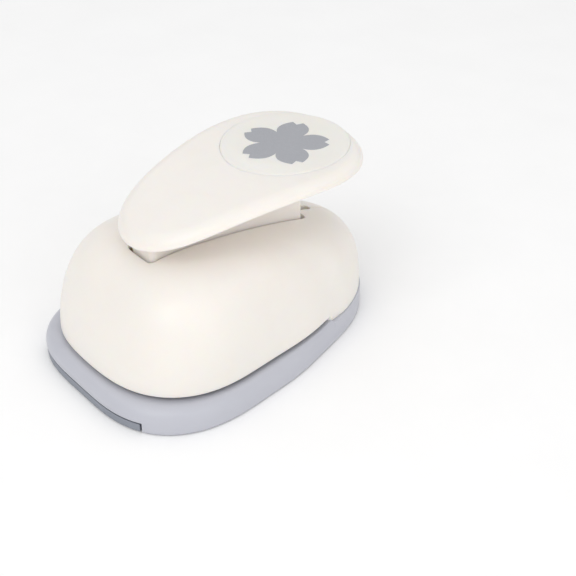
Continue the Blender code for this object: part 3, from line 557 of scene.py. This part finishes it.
# ---------------------------------------------------------------- base
def build_base():
    t = body_turns(360)
    n = len(t)
    w = step_up(t)
    rings = []

    def add(xy, z):
        rings.append(np.stack([xy[0], xy[1], np.broadcast_to(z, t.shape)], 1))

    def mix(f):
        (bx, by), (dx, dy) = base_point(t), dome_point(t)
        return bx + (dx - bx) * f, by + (dy - by) * f

    for a in (0, 30, 60, 90):
        a = math.radians(a)
        add(base_point(t, 0.6 * (1 - math.sin(a))), BASE_BOTTOM + 0.6 * (1 - math.cos(a)))
    rear_wall = REAR_TOP - 0.5
    for f in np.linspace(0.25, 1.0, 4):
        add(base_point(t), 1.1 + (SHOULDER_Z - 1.1) * f + (rear_wall - SHOULDER_Z) * f * w)
    for k in range(1, 25):
        a = math.pi / 2 * k / 24
        f = 1 - math.cos(a) ** (2 / 2.2)
        front = SHOULDER_Z + (TABLE_Z - SHOULDER_Z) * math.sin(a) ** (2 / 2.2)
        rear = REAR_TOP - 0.5 * (1 - math.sin(a)) ** 2
        add(mix(f), front * (1 - w) + rear * w)
    for inset in (0.8, 1.8, 2.7):
        add(dome_point(t, inset), TABLE_Z * (1 - w) + REAR_TOP * w)
    add(dome_point(t, 3.1), TABLE_Z)
    top = len(rings) - 1
    add(base_point(t, 6.6), TABLE_UNDER)
    add(base_point(t, WALL_BASE + 0.8), SHOULDER_Z + 1.2)
    add(base_point(t, WALL_BASE), SHOULDER_Z)
    add(base_point(t, WALL_BASE), BASE_BOTTOM)
    verts = np.concatenate(rings)
    faces = []
    for k in range(top):
        faces += ring_faces(k * n, (k + 1) * n, n)
    for k in range(top + 1, len(rings) - 1):
        faces += ring_faces(k * n, (k + 1) * n, n)
    faces += ring_faces((len(rings) - 1) * n, 0, n)
    faces.append(tuple(range(top * n, (top + 1) * n)))
    faces.append(tuple(range((top + 1) * n, (top + 2) * n)))
    ob = make("base", verts, faces)
    combine(ob, block("seat", -37, 37, PUNCH_Y - 32, PUNCH_Y + 32, 6.0, 9.9), "UNION")
    for x, y in [(-24, 33), (24, 33)] + BOTTOM_SCREWS:
        combine(ob, lathe("boss", [(4.6, 4.3), (4.6, 9.9)], seg=48, at=(x, y, 0), r=0), "UNION")
    combine(ob, block("well", -25.4, 25.4, PUNCH_Y - 21.4, PUNCH_Y + 21.4, 0, 20))
    combine(ob, block("rebate", -DIE_X - GAP, DIE_X + GAP, PUNCH_Y - DIE_Y - GAP, PUNCH_Y + DIE_Y + GAP, 9.1, 20))
    for x in (-24, 24):
        drill(ob, 1.8, 4.9, 20, x, 33)
    for x, y in BOTTOM_SCREWS:
        drill(ob, 1.6, 3.0, 8.4, x, y)
    for x, y in DOME_SCREWS:
        drill(ob, 1.9, 3.0, 20, x, y)
    for x, y in DIE_SCREWS:
        drill(ob, 1.5, 6.6, 20, x, y)
    # wide gap in the lower front wall, which the lip of the bottom cover fills
    wall = [math.radians(180 - RECESS_DEG + 2 * RECESS_DEG * k / 96) for k in range(97)]
    combine(ob, prism("recess", [base_point(v, -3.0) for v in wall] + [base_point(v, WALL_BASE + 1.0) for v in wall[::-1]], -1.0, RECESS_TOP))
    shade(ob, 32)
    return piece(ob, "base_frame", "punch_body", "base_grey")


build_base()


# ---------------------------------------------------------------- dome
def rays(bearing, inset):
    """Along each bearing from the dome's centre: the outline's distance and the section's power."""
    t = np.radians(np.linspace(-180.0, 180.0, 14401))
    ox, oy = dome_point(t, inset)
    far = np.unwrap(np.arctan2(ox, oy - DOME_Y_CENTRE))
    order = np.argsort(far)
    tt = np.interp(bearing, far[order], t[order])
    x, y = dome_point(tt, inset)
    return np.hypot(x, y - DOME_Y_CENTRE), cosines(SQUARE, tt), tt


def opening_reach(bearing, grow):
    """Distance along each bearing to the edge of the round-cornered opening, grown by grow."""
    half, y0, y1, r = OPEN_HALF + grow, OPEN_FRONT - grow, OPEN_REAR + grow, 2.5 + grow
    lo, hi = np.zeros_like(bearing), np.full_like(bearing, 90.0)
    cy, hy = (y0 + y1) / 2, (y1 - y0) / 2
    for _ in range(50):
        mid = (lo + hi) / 2
        x, y = mid * np.sin(bearing), DOME_Y_CENTRE + mid * np.cos(bearing)
        qx, qy = np.abs(x) - half + r, np.abs(y - cy) - hy + r
        d = np.hypot(np.maximum(qx, 0), np.maximum(qy, 0)) + np.minimum(np.maximum(qx, qy), 0) - r
        lo, hi = np.where(d < 0, mid, lo), np.where(d < 0, hi, mid)
    return lo


def dome_z(rho, power, y, inset):
    return DOME_EDGE_Z + (crown(y) - inset - DOME_EDGE_Z) * np.maximum(0.0, 1 - rho**power) ** (2 / power)


def dome_bearings():
    a = list(np.arange(-180.0, 180.0, 1.5))
    for side in (-1, 1):
        a += [side * v for v in np.arange(5.8, 9.4, 0.2)]
        a += [side * v for v in np.arange(152.0, 164.0, 0.5)]
    edge = []
    for side in (-1, 1):
        for d in (-0.5, -0.3, -0.1, 0.1, 0.3, 0.5):
            x, y = dome_point(np.array(math.radians(side * (NOTCH + d))), 0.0)
            edge.append(math.degrees(math.atan2(x, y - DOME_Y_CENTRE)))
    a = [v for v in a if min(abs(v - e) for e in edge) > 0.25] + edge
    a = sorted(a)
    out = [a[0]]
    for v in a[1:]:
        if v - out[-1] > 0.09:
            out.append(v)
    return np.radians(out)


def build_dome():
    bearing = dome_bearings()
    n = len(bearing)
    s, c = np.sin(bearing), np.cos(bearing)
    rings = []

    def add(dist, z):
        rings.append(np.stack([dist * s, DOME_Y_CENTRE + dist * c, np.broadcast_to(z, dist.shape)], 1))

    def skin(inset, grow, z_low, count):
        """Rings of the skin from its lower edge up to the opening, evenly spaced along the surface."""
        reach, power, _ = rays(bearing, inset)
        first = opening_reach(bearing, grow) / reach
        q = np.linspace(0, 1, 500)[:, None]
        rho = first + (1 - first) * (1 - q**4)
        y = DOME_Y_CENTRE + rho * reach * c
        z = dome_z(rho, power, y, inset)
        run = np.hypot(np.diff(rho * reach, axis=0), np.diff(z, axis=0))
        run = np.concatenate([np.zeros((1, n)), np.cumsum(run, axis=0)])
        out = []
        for k in range(count + 1):
            want = run[-1] * k / count
            d = np.array([np.interp(want[i], run[:, i], rho[:, i] * reach[i]) for i in range(n)])
            out.append((d, dome_z(np.minimum(1.0, d / reach), power, DOME_Y_CENTRE + d * c, inset)))
        return out, reach

    ROUND = 0.5
    outer, reach = skin(0.0, ROUND, 0.0, 58)
    outer = outer[::-1] if outer[0][0][0] < outer[-1][0][0] else outer
    # outer now runs from the lower edge up to the opening
    w = step_up(rays(bearing, 0.0)[2])
    low = DOME_EDGE_Z * (1 - w) + DOME_REAR_Z * w
    for a in (90, 60, 30, 0):
        a = math.radians(a)
        add(rays(bearing, 0.4 * (1 - math.cos(a)))[0], low + 0.4 * (1 - math.sin(a)))
    start = len(rings)
    for d, z in outer[1:]:
        add(d, np.maximum(z, low + 0.45))
    for a in (30, 60, 90):
        a = math.radians(a)
        d = opening_reach(bearing, ROUND * (1 - math.sin(a)))
        z = dome_z(d / reach, rays(bearing, 0.0)[1], DOME_Y_CENTRE + d * c, 0.0) - ROUND * (1 - math.cos(a))
        add(d, z)
    inner, _ = skin(DOME_WALL, 0.0, 0.0, 26)
    inner = inner if inner[0][0][0] < inner[-1][0][0] else inner[::-1]
    # inner runs from the opening down to the lower edge
    for d, z in inner[:-1]:
        add(d, np.maximum(z, low + 0.4))
    add(rays(bearing, DOME_WALL)[0], low + 0.3)
    add(rays(bearing, DOME_WALL - 0.3)[0], low)
    verts = np.concatenate(rings)
    faces = []
    for k in range(len(rings)):
        faces += ring_faces(k * n, ((k + 1) % len(rings)) * n, n)
    ob = make("dome", verts, faces)

    def height(x, y):
        b = np.array([math.atan2(abs(x), y - DOME_Y_CENTRE)])
        reach1, power, _ = rays(b, 0.0)
        return float(dome_z(min(1.0, math.hypot(x, y - DOME_Y_CENTRE) / reach1[0]), power[0], y, 0.0))

    def boss_top(x, y, r):
        return min(height(x + r * math.cos(a), y + r * math.sin(a)) for a in [math.pi * k / 8 for k in range(16)]) - 0.9

    for x, y in DOME_SCREWS:
        combine(ob, lathe("boss", [(4.5, TABLE_Z + GAP), (4.5, boss_top(x, y, 4.5))], seg=48, at=(x, y, 0), r=0), "UNION")
        drill(ob, 1.8, 5, 25.0, x, y)
    for x in (-22, 22):
        combine(ob, lathe("boss", [(3.5, PLATE_Z[1] + GAP), (3.5, boss_top(x, -40, 3.5))], seg=48, at=(x, -40, 0), r=0), "UNION")
    # narrow slot behind the opening
    end = [(1.9 * math.cos(a), REAR_SLOT_END - 1.5 + 1.5 * math.sin(a)) for a in [math.pi * k / 12 for k in range(13)]]
    combine(ob, prism("slot", [(-1.9, OPEN_REAR - 2), (1.9, OPEN_REAR - 2)] + end, 30, 75))
    # centre-line groove down the rear
    reach0, power0, _ = rays(np.array([0.0]), 0.0)
    line = []
    for k in range(41):
        y = REAR_SLOT_END - 0.5 + (DOME_Y_CENTRE + reach0[0] - 0.6 - REAR_SLOT_END) * (1 - (1 - k / 40) ** 2)
        line.append((y, float(dome_z((y - DOME_Y_CENTRE) / reach0[0], power0[0], y, 0.0))))
    low_line = []
    for (ya, za), (yb, zb), (yc, zc) in zip([line[0]] + line[:-1], line, line[1:] + [line[-1]]):
        d = Vector((yc - ya, zc - za)).normalized()
        low_line.append((yb + d.y * 0.45, zb - d.x * 0.45))
    high = [(y + 2.0, z + 3.0) for y, z in line]
    prof = low_line + high[::-1]
    m = len(prof)
    gv = [(-0.3, y, z) for y, z in prof] + [(0.3, y, z) for y, z in prof]
    gf = [(i, (i + 1) % m, m + (i + 1) % m, m + i) for i in range(m)]
    gf += [tuple(reversed(range(m))), tuple(range(m, 2 * m))]
    combine(ob, make("groove", gv, gf))
    shade(ob, 33)
    return piece(ob, "dome_cover", "punch_body", "dome_shell")


build_dome()


# ---------------------------------------------------------------- lever
def lever_top(y):
    s = y - LEVER_DATUM[0]
    e = max(0.0, -s - 5.0)
    return LEVER_DATUM[1] + s * math.tan(LEVER_TILT) - LEVER_DROOP[0] * e**2 - LEVER_DROOP[1] * e**3


STEPS = 90


def lever_ring(inset):
    half = []
    for k in range(STEPS + 1):
        u = 0.5 - 0.5 * math.cos(math.pi * k / STEPS)
        v = 2 * u - 1
        wide = 2 * math.sqrt(max(0.0, u * (1 - u))) * sum(c * v**j for j, c in enumerate(LEVER_WIDTH))
        half.append((wide, LEVER_DATUM[0] - LEVER_FRONT + u * (LEVER_FRONT + LEVER_REAR)))
    full = half + [(-x, y) for x, y in half[-2:0:-1]]
    return offset(full, -inset) if inset else full


def skin_of(ring, drop):
    return [(x, y, lever_top(y) - drop) for x, y in ring]


def capped(rings, name):
    n = len(rings[0])
    verts = [p for ring in rings for p in ring]
    faces = []
    for k in range(len(rings) - 1):
        faces += ring_faces(k * n, (k + 1) * n, n)
    for base, flip in ((0, False), ((len(rings) - 1) * n, True)):
        right = [base + i for i in range(STEPS + 1)]
        left = [base] + [base + n - i for i in range(1, STEPS)] + [base + STEPS]
        for i in range(STEPS):
            quad = list(dict.fromkeys([right[i], right[i + 1], left[i + 1], left[i]]))
            faces.append(tuple(quad if flip else quad[::-1]))
    return make(name, verts, faces)


def place_on_disc(ob):
    z = LEVER_DATUM[1] + DISC_PROUD + (DISC_Y - LEVER_DATUM[0]) * math.tan(LEVER_TILT)
    ob.data.transform(Matrix.Translation(Vector((0, DISC_Y, z)) * MM) @ Matrix.Rotation(LEVER_TILT, 4, "X"))
    return ob


def settle(ob):
    """Outside the printed flower the disc bends down with the lever's top, so its rim stands equally proud all round."""
    for v in ob.data.vertices:
        x, y = v.co.x / MM, v.co.y / MM
        f = min(1.0, max(0.0, (math.hypot(x, y - DISC_Y) - 20.5) / 7.0))
        e = max(0.0, LEVER_DATUM[0] - y - 5.0)
        v.co.z -= (LEVER_DROOP[0] * e**2 + LEVER_DROOP[1] * e**3) * f * f * (3 - 2 * f) * MM
    return ob


def flower(turn=0.0, steps=22):
    a, tip = math.radians(36), math.radians(FLOWER_TIP_DEG)
    root = (FLOWER_ROOT * math.cos(a), FLOWER_ROOT * math.sin(a))
    end = (FLOWER_TIP * math.cos(tip), FLOWER_TIP * math.sin(tip))
    c1, c2 = (root[0] + 3.9, root[1] + 1.7), (end[0] - 3.6, end[1] + 5.4)
    side = []
    for k in range(steps + 1):
        t = k / steps
        b = ((1 - t) ** 3, 3 * t * (1 - t) ** 2, 3 * t * t * (1 - t), t**3)
        side.append(tuple(b[0] * root[i] + b[1] * c1[i] + b[2] * c2[i] + b[3] * end[i] for i in (0, 1)))
    petal = [(x, -y) for x, y in side] + [(FLOWER_NOTCH, 0.0)] + side[::-1][:-1]
    pts = []
    for k in range(5):
        d = math.radians(-90 + 72 * k + turn)
        pts += [(x * math.cos(d) - y * math.sin(d), x * math.sin(d) + y * math.cos(d)) for x, y in petal]
    return pts


def build_lever():
    rh, rv = LEVER_EDGE
    low = rv + LEVER_SKIRT
    rings = [skin_of(lever_ring(0.25), low), skin_of(lever_ring(0.07), low - 0.07), skin_of(lever_ring(0), low - 0.25)]
    for k in range(0, 17):
        a = math.pi / 2 * k / 16
        rings.append(skin_of(lever_ring(rh * (1 - math.cos(a))), rv * (1 - math.sin(a))))
    rings.append(skin_of(lever_ring(rh + 1.5), 0.0))
    cover = capped(rings, "lever_cover_fine")
    hollow = [skin_of(lever_ring(LEVER_WALL), low + 2.0), skin_of(lever_ring(LEVER_WALL), LEVER_TOP + 1.6)]
    for k in range(1, 7):
        a = math.pi / 2 * k / 6
        hollow.append(skin_of(lever_ring(LEVER_WALL + 2.4 * (1 - math.cos(a))), LEVER_TOP + 1.6 * (1 - math.sin(a))))
    combine(cover, capped(hollow, "hollow"))
    for x, y in LEVER_SCREWS:
        combine(cover, lathe("boss", [(3.0, lever_top(y) - 4.0), (3.0, lever_top(y) - LEVER_TOP + 0.4)], seg=40, at=(x, y, 0), r=0), "UNION")
        drill(cover, 1.3, lever_top(y) - 12, lever_top(y) - LEVER_TOP, x, y)
    floor_rings = [20.4 + 0.8 * k for k in range(11)]
    combine(cover, settle(place_on_disc(lathe("pocket", [(r, -1.35) for r in floor_rings] + [(DISC_R + 0.35, -1.35), (DISC_R + 0.35, 6.0)], seg=220, r=0))))
    shade(cover, 30)
    piece(cover, "lever_cover", "lever", "lever_shell")

    # frame: flange under the cover, and the hollow web that sinks into the body
    plate = capped([skin_of(lever_ring(2.7), FLANGE[1]), skin_of(lever_ring(2.6), FLANGE[1] - 0.2), skin_of(lever_ring(5.2), FLANGE[0])], "plate")
    nose = [math.radians(a) for a in range(0, 91, 6)]
    ys = [WEB_FRONT + 3.0 * (1 - math.cos(a)) for a in nose]
    half = [WEB_HALF - 3.0 + 3.0 * math.sin(a) for a in nose]
    ys += list(np.linspace(-36, WEB_REAR - 0.8, 40)) + [WEB_REAR - 0.55, WEB_REAR - 0.25, WEB_REAR]
    half += [WEB_HALF] * 40 + [WEB_HALF - 0.06, WEB_HALF - 0.3, WEB_HALF - 0.8]

    def loft(name, sections):
        verts, faces = [], []
        for y, w, z0, z1 in sections:
            verts += [(-w, y, z0), (w, y, z0), (w, y, z1), (-w, y, z1)]
        for k in range(len(sections) - 1):
            a, b = 4 * k, 4 * k + 4
            for i in range(4):
                j = (i + 1) % 4
                faces.append((a + i, a + j, b + j, b + i))
        last = 4 * (len(sections) - 1)
        return make(name, verts, faces + [(3, 2, 1, 0), (last, last + 1, last + 2, last + 3)])

    combine(plate, loft("web", [(y, w, WEB_BOTTOM, lever_top(y) - 3.2) for y, w in zip(ys, half)]), "UNION")
    t = WEB_WALL
    combine(plate, loft("hollow", [(y, WEB_HALF - t, WEB_BOTTOM - 5, lever_top(y) - 6.0) for y in np.linspace(WEB_FRONT + 7.2, WEB_REAR - t, 40)]))
    drill(plate, 2.8, -20, 20, *PIVOT, axis="X")
    drill(plate, 1.8, -20, 20, PUNCH_Y, ROLLER_Z, axis="X")
    drill(plate, 1.8, -20, 20, STOP_Y, STOP_Z, axis="X")
    for x, y in LEVER_SCREWS:
        drill(plate, 3.4, lever_top(y) - 12, lever_top(y), x, y)
    side = [(-20, WEB_REAR + 0.05, 50), (-20, WEB_REAR - 1.2, 76), (-20, WEB_REAR + 6, 76), (-20, WEB_REAR + 6, 50)]
    verts = side + [(20, y, z) for _, y, z in side]
    combine(plate, make("lean", verts, [(0, 1, 2, 3), (7, 6, 5, 4)] + [(i, (i + 1) % 4, 4 + (i + 1) % 4, 4 + i) for i in range(4)]))
    shade(plate, 30)
    piece(plate, "lever_frame", "lever", "lever_shell")

    edge = [(r, -1.1) for r in floor_rings] + [(DISC_R + 0.28, -1.1), (DISC_R + 0.28, -0.44)]
    for k in range(1, 9):
        a = math.pi / 2 * k / 8
        edge.append((DISC_R + 0.28 - 1.5 * (1 - math.cos(a)), -0.44 + 0.44 * math.sin(a)))
    edge += [(r, 0.0) for r in (26.4, 25.4, 24.4, 23.4, 22.4, 21.4, 20.9)]
    disc = lathe("disc", edge, seg=220, r=0)
    printed = [(x, y + FLOWER_SHIFT) for x, y in flower(FLOWER_TURN)]
    combine(disc, prism("pocket", printed, -0.6, 2.0))
    settle(place_on_disc(disc))
    shade(disc, 30)
    piece(disc, "disc_insert", "lever", "lever_disc")
    ink = prism("ink", offset(printed, -0.03), -0.55, -0.04)
    place_on_disc(ink)
    piece(ink, "flower_emblem", "lever", "emblem_print")

    piece(tube("roller", 1.8, ROLLER_R, -5.2, 5.2, at=(0, PUNCH_Y, ROLLER_Z)), "press_roller", "lever", "tool_steel")
    piece(lathe("pin", [(1.5, -8.3), (1.5, 8.3)], axis="X", at=(0, PUNCH_Y, ROLLER_Z)), "roller_pin", "lever", "fastener_steel")
    piece(lathe("pin", [(1.5, -12.5), (1.5, 12.5)], axis="X", at=(0, STOP_Y, STOP_Z), r=0.35), "stop_pin", "lever", "fastener_steel")
    for i, (x, y) in enumerate(LEVER_SCREWS):
        z = lever_top(y) - FLANGE[1] - GAP - 0.4
        ob = lathe("screw", [(3.4, z - 1.4), (4.2, z - 0.8), (4.2, z), (1.0, z), (1.0, z + 2.3)], at=(x, y, 0), r=0.3)
        cross(ob, x, y, z - 1.4, True)
        shade(ob, 45)
        piece(ob, "lever_screw_%d" % (i + 1), "lever", "fastener_steel")


build_lever()


# ---------------------------------------------------------------- hinge, plates and punch head
def build_works():
    b = "punch_body"
    z1 = PLATE_Z[1]
    bracket = block("bracket", -13.6, 13.6, -44.5, -25.6, z1 + GAP, 51.0)
    combine(bracket, block("inside", -11.1, 11.1, -60, 0, z1 + GAP + 2.2, 60))
    for y0, y1 in ((-50, -40.5), (-26.5, -15)):
        combine(bracket, block("trim", -20, 20, y0, y1, 34.0, 60))
    drill(bracket, 2.8, -20, 20, *PIVOT, axis="X")
    for x, y in BRACKET_SCREWS:
        drill(bracket, 1.8, 10, 25, x, y)
    bevelled(bracket, 0.3, 2, 50)
    piece(bracket, "pivot_bracket", b, "zinc")
    piece(lathe("pin", [(3.9, -15.9), (3.9, -13.9), (2.5, -13.9), (2.5, 16.6)], axis="X", at=(0, *PIVOT), r=0.4), "pivot_pin", b, "fastener_steel")
    piece(tube("clip", 2.8, 4.6, 13.9, 14.9, at=(0, *PIVOT)), "pivot_clip", b, "spring_steel")
    for side, name in ((-1, "pivot_bush_left"), (1, "pivot_bush_right")):
        lo, hi = sorted((side * 8.8, side * 10.8))
        piece(tube("bush", 2.8, 5.0, lo, hi, at=(0, *PIVOT)), name, b, "nylon")
    for i, (x, y) in enumerate(BRACKET_SCREWS):
        z = z1 + GAP + 2.2 + GAP
        ob = lathe("screw", [(1.5, 15.2), (1.5, z), (2.9, z), (2.9, z + 1.3), (2.2, z + 1.9)], at=(x, y, 0), r=0.25)
        cross(ob, x, y, z + 1.9, False)
        shade(ob, 45)
        piece(ob, "bracket_screw_%d" % (i + 1), b, "fastener_steel")

    h = "punch_head"
    punch = prism("punch", [(x, y + PUNCH_Y) for x, y in flower()], *PUNCH_Z)
    for x, y in CARRIER_SCREWS:
        drill(punch, 1.5, 21.0, 40, x, y)
    shade(punch, 30)
    piece(punch, "flower_punch", h, "tool_steel")
    carrier = prism("carrier", rounded(-31, 31, PUNCH_Y - 8, PUNCH_Y + 8, 4), *CARRIER_Z)
    for x in (-POST_X, POST_X):
        drill(carrier, 2.4, 20, 40, x, PUNCH_Y)
    for x, y in CARRIER_SCREWS:
        drill(carrier, 1.6, 20, 40, x, y)
    bevelled(carrier, 0.3, 2, 50)
    piece(carrier, "punch_carrier", h, "zinc")
    for i, (x, y) in enumerate(CARRIER_SCREWS):
        z = CARRIER_Z[1] + GAP
        ob = lathe("screw", [(1.2, 22.0), (1.2, z), (2.5, z), (2.5, z + 1.2), (1.9, z + 1.8)], at=(x, y, 0), r=0.25)
        cross(ob, x, y, z + 1.8, False, 1.2)
        shade(ob, 45)
        piece(ob, "carrier_screw_%d" % (i + 1), h, "fastener_steel")
    top = ROLLER_Z - ROLLER_R - GAP
    piece(lathe("pad", [(5.6, CARRIER_Z[1] + GAP), (5.6, top - 0.8), (4.9, top)], at=(0, PUNCH_Y, 0), r=0.4), "press_pad", h, "nylon")

    aperture = offset([(x, y + PUNCH_Y) for x, y in flower()], 0.35)
    holes = [circle(x, PUNCH_Y, 2.3) for x in (-POST_X, POST_X)] + [circle(x, 33, 1.8) for x in (-24, 24)]
    holes += [circle(x, y, 1.8) for x, y in BRACKET_SCREWS]
    upper = pierced("upper", rounded(-31, 31, *PLATE_Y, 5), [aperture] + holes, *PLATE_Z)
    shade(upper, 30)
    piece(upper, "upper_plate", b, "plate_steel")
    die = pierced("die", rounded(-DIE_X, DIE_X, PUNCH_Y - DIE_Y, PUNCH_Y + DIE_Y, 1.5, 6), [aperture] + [circle(x, y, 1.5) for x, y in DIE_SCREWS], *DIE_Z)
    for x, y in DIE_SCREWS:
        drill(die, 2.5, 11.0, 20, x, y)
    shade(die, 30)
    piece(die, "die_plate", b, "tool_steel")
    for i, (x, y) in enumerate(DIE_SCREWS):
        ob = lathe("screw", [(1.1, 7.0), (1.1, 11.3), (2.1, 11.3), (2.1, 12.1)], at=(x, y, 0), r=0.15)
        cross(ob, x, y, 12.1, False, 1.0, 0.5)
        shade(ob, 45)
        piece(ob, "die_screw_%d" % (i + 1), b, "fastener_steel")
    spacer = block("spacer", -31, 31, 27.0, 38.0, TABLE_Z + GAP, PLATE_Z[0] - GAP)
    for x in (-24, 24):
        drill(spacer, 1.9, 10, 20, x, 33)
    bevelled(spacer, 0.2, 2, 50)
    piece(spacer, "rear_spacer", b, "plate_steel")
    for side, name in ((-1, "frame_screw_left"), (1, "frame_screw_right")):
        z = z1 + GAP
        ob = lathe("screw", [(1.5, 6.0), (1.5, z), (3.2, z), (3.2, z + 1.4), (2.4, z + 2.2)], at=(side * 24, 33, 0), r=0.3)
        cross(ob, side * 24, 33, z + 2.2, False, 1.5)
        shade(ob, 45)
        piece(ob, name, b, "fastener_steel")
    for side, name in ((-1, "guide_post_left"), (1, "guide_post_right")):
        piece(lathe("post", [(2.0, 14.9), (2.0, 34.2), (3.4, 34.2), (3.4, 35.4), (2.6, 36.0)], at=(side * POST_X, PUNCH_Y, 0), r=0.3), name, b, "fastener_steel")

    def spring(name, x, y):
        steps, sides = 40, 12
        total = int(SPRING_TURNS * steps)
        z0, top = SPRING_Z[0] + SPRING_WIRE, SPRING_Z[1] - SPRING_WIRE
        verts, faces = [], []
        for k in range(total + 1):
            f = min(1.0, max(0.0, (k / steps - 0.55) / (SPRING_TURNS - 1.1)))
            f = f * f * (3 - 2 * f) * 0.25 + f * 0.75
            a = 2 * math.pi * k / steps
            for j in range(sides):
                q = 2 * math.pi * (j + 0.5) / sides
                r = SPRING_R + SPRING_WIRE * math.cos(q)
                verts.append((x + r * math.cos(a), y + r * math.sin(a), z0 + (top - z0) * f + SPRING_WIRE * math.sin(q)))
        for k in range(total):
            faces += [(k * sides + j, k * sides + (j + 1) % sides, (k + 1) * sides + (j + 1) % sides, (k + 1) * sides + j) for j in range(sides)]
        faces.append(tuple(range(sides)))
        faces.append(tuple(range(total * sides, (total + 1) * sides))[::-1])
        ob = make(name, verts, faces)
        shade(ob, 60)
        return ob

    for side, name in ((-1, "return_spring_left"), (1, "return_spring_right")):
        ob = piece(spring(name, side * POST_X, PUNCH_Y), name, b, "spring_steel")
        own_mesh(ob)
    stop = prism("stop", rounded(-9, 9, 21.5, 27.5, 1.5, 8), z1 + GAP, 26.8)
    bevelled(stop, 0.5, 4, 50)
    piece(stop, "down_stop", b, "rubber")


build_works()


# ---------------------------------------------------------------- underside
def build_underside():
    b = "punch_body"
    t = body_turns(300)
    x, y = base_point(t, WALL_BASE + 0.4)
    cover = prism("cover", list(zip(x, y)), 2.0, 4.0)
    combine(cover, prism("window", rounded(-29, 29, PUNCH_Y - 25, PUNCH_Y + 25, 4), 0, 8))
    for sx, sy in BOTTOM_SCREWS:
        drill(cover, 1.9, 0, 8, sx, sy)
    # the lip that fills the gap in the front wall: its face follows the wall and rolls under at the foot
    arc = [math.radians(180 - LIP_DEG + 2 * LIP_DEG * k / 96) for k in range(97)]

    def lip(face, back, z0, z1):
        return prism("lip", [base_point(v, face) for v in arc] + [base_point(v, back) for v in arc[::-1]], z0, z1)

    combine(cover, lip(0.25, 5.0, 2.3, LIP_Z[1]), "UNION")
    combine(cover, lip(0.25, 2.0, LIP_Z[0], 3.0), "UNION")
    combine(cover, lip(0.85, 2.9, 3.0, 6.0))
    bevelled(cover, 0.2, 3, 60)
    piece(cover, "bottom_cover", b, "cover_slate")
    for i, (x, y) in enumerate(FEET):
        foot = [(5.2, 0.0), (5.75, 0.2), (6.0, 0.6), (6.0, 1.7)]
        ob = lathe("foot", foot, at=(x, y, 0), r=0.25)
        piece(ob, "foot_%d" % (i + 1), b, "rubber")
    for i, (x, y) in enumerate(BOTTOM_SCREWS):
        ob = lathe("screw", [(2.2, 0.5), (3.0, 0.9), (3.0, 1.7), (1.3, 1.7), (1.3, 8.0)], at=(x, y, 0), r=0.25)
        cross(ob, x, y, 0.5, True)
        shade(ob, 45)
        piece(ob, "bottom_screw_%d" % (i + 1), b, "fastener_steel")
    for side, name in ((-1, "dome_screw_left"), (1, "dome_screw_right")):
        z = TABLE_UNDER - GAP
        ob = lathe("screw", [(2.4, z - 2.2), (3.2, z - 1.4), (3.2, z), (1.5, z), (1.5, 24.4)], at=(side * 26.0, 44.0, 0), r=0.3)
        cross(ob, side * 26.0, 44.0, z - 2.2, True)
        shade(ob, 45)
        piece(ob, name, b, "fastener_steel")


build_underside()

# ---------------------------------------------------------------- floor and light
floor_mesh = bpy.data.meshes.new("floor")
floor_mesh.from_pydata([(-6, -6, 0), (6, -6, 0), (6, 6, 0), (-6, 6, 0)], [], [(0, 1, 2, 3)])
floor = bpy.data.objects.new("floor", floor_mesh)
bpy.context.scene.collection.objects.link(floor)
paper = Surface("pale_paper", 0.9, Specular_IOR_Level=0.15)
paper.link(paper.ramp(paper.noise(25.0, 3.0), [(0.3, (0.975, 0.975, 0.975)), (0.7, (0.990, 0.990, 0.990))]), paper.shader.inputs["Base Color"])
floor_mesh.materials.append(paper.mat)

world = bpy.data.worlds.new("studio")
world.use_nodes = True
sky = world.node_tree
way = sky.nodes.new("ShaderNodeTexCoord")
split = sky.nodes.new("ShaderNodeSeparateXYZ")
rise = sky.nodes.new("ShaderNodeValToRGB")
while len(rise.color_ramp.elements) < 4:
    rise.color_ramp.elements.new(0.5)
for step, (at, level) in zip(rise.color_ramp.elements, [(0.06, 0.90), (0.10, 0.46), (0.30, 0.56), (0.80, 0.91)]):
    step.position, step.color = at, (level, level, level, 1.0)
sky.links.new(way.outputs["Generated"], split.inputs["Vector"])
sky.links.new(split.outputs["Z"], rise.inputs["Fac"])
sky.links.new(rise.outputs["Color"], sky.nodes["Background"].inputs["Color"])
sky.nodes["Background"].inputs["Strength"].default_value = 1.0
bpy.context.scene.world = world


def area(name, at, aim, size, watts, rgb=(1, 1, 1)):
    data = bpy.data.lights.new(name, "AREA")
    data.shape = "DISK"
    data.size = size
    data.energy = watts
    data.color = rgb
    ob = bpy.data.objects.new(name, data)
    bpy.context.scene.collection.objects.link(ob)
    ob.location = at
    ob.rotation_mode = "QUATERNION"
    ob.rotation_quaternion = (Vector(aim) - Vector(at)).to_track_quat("-Z", "Y")
    return ob


area("key", (0.55, -1.15, 1.45), (0, 0, 0.03), 1.5, 9.2)
area("fill", (1.5, -0.1, 0.65), (0, 0, 0.05), 1.2, 3.4)
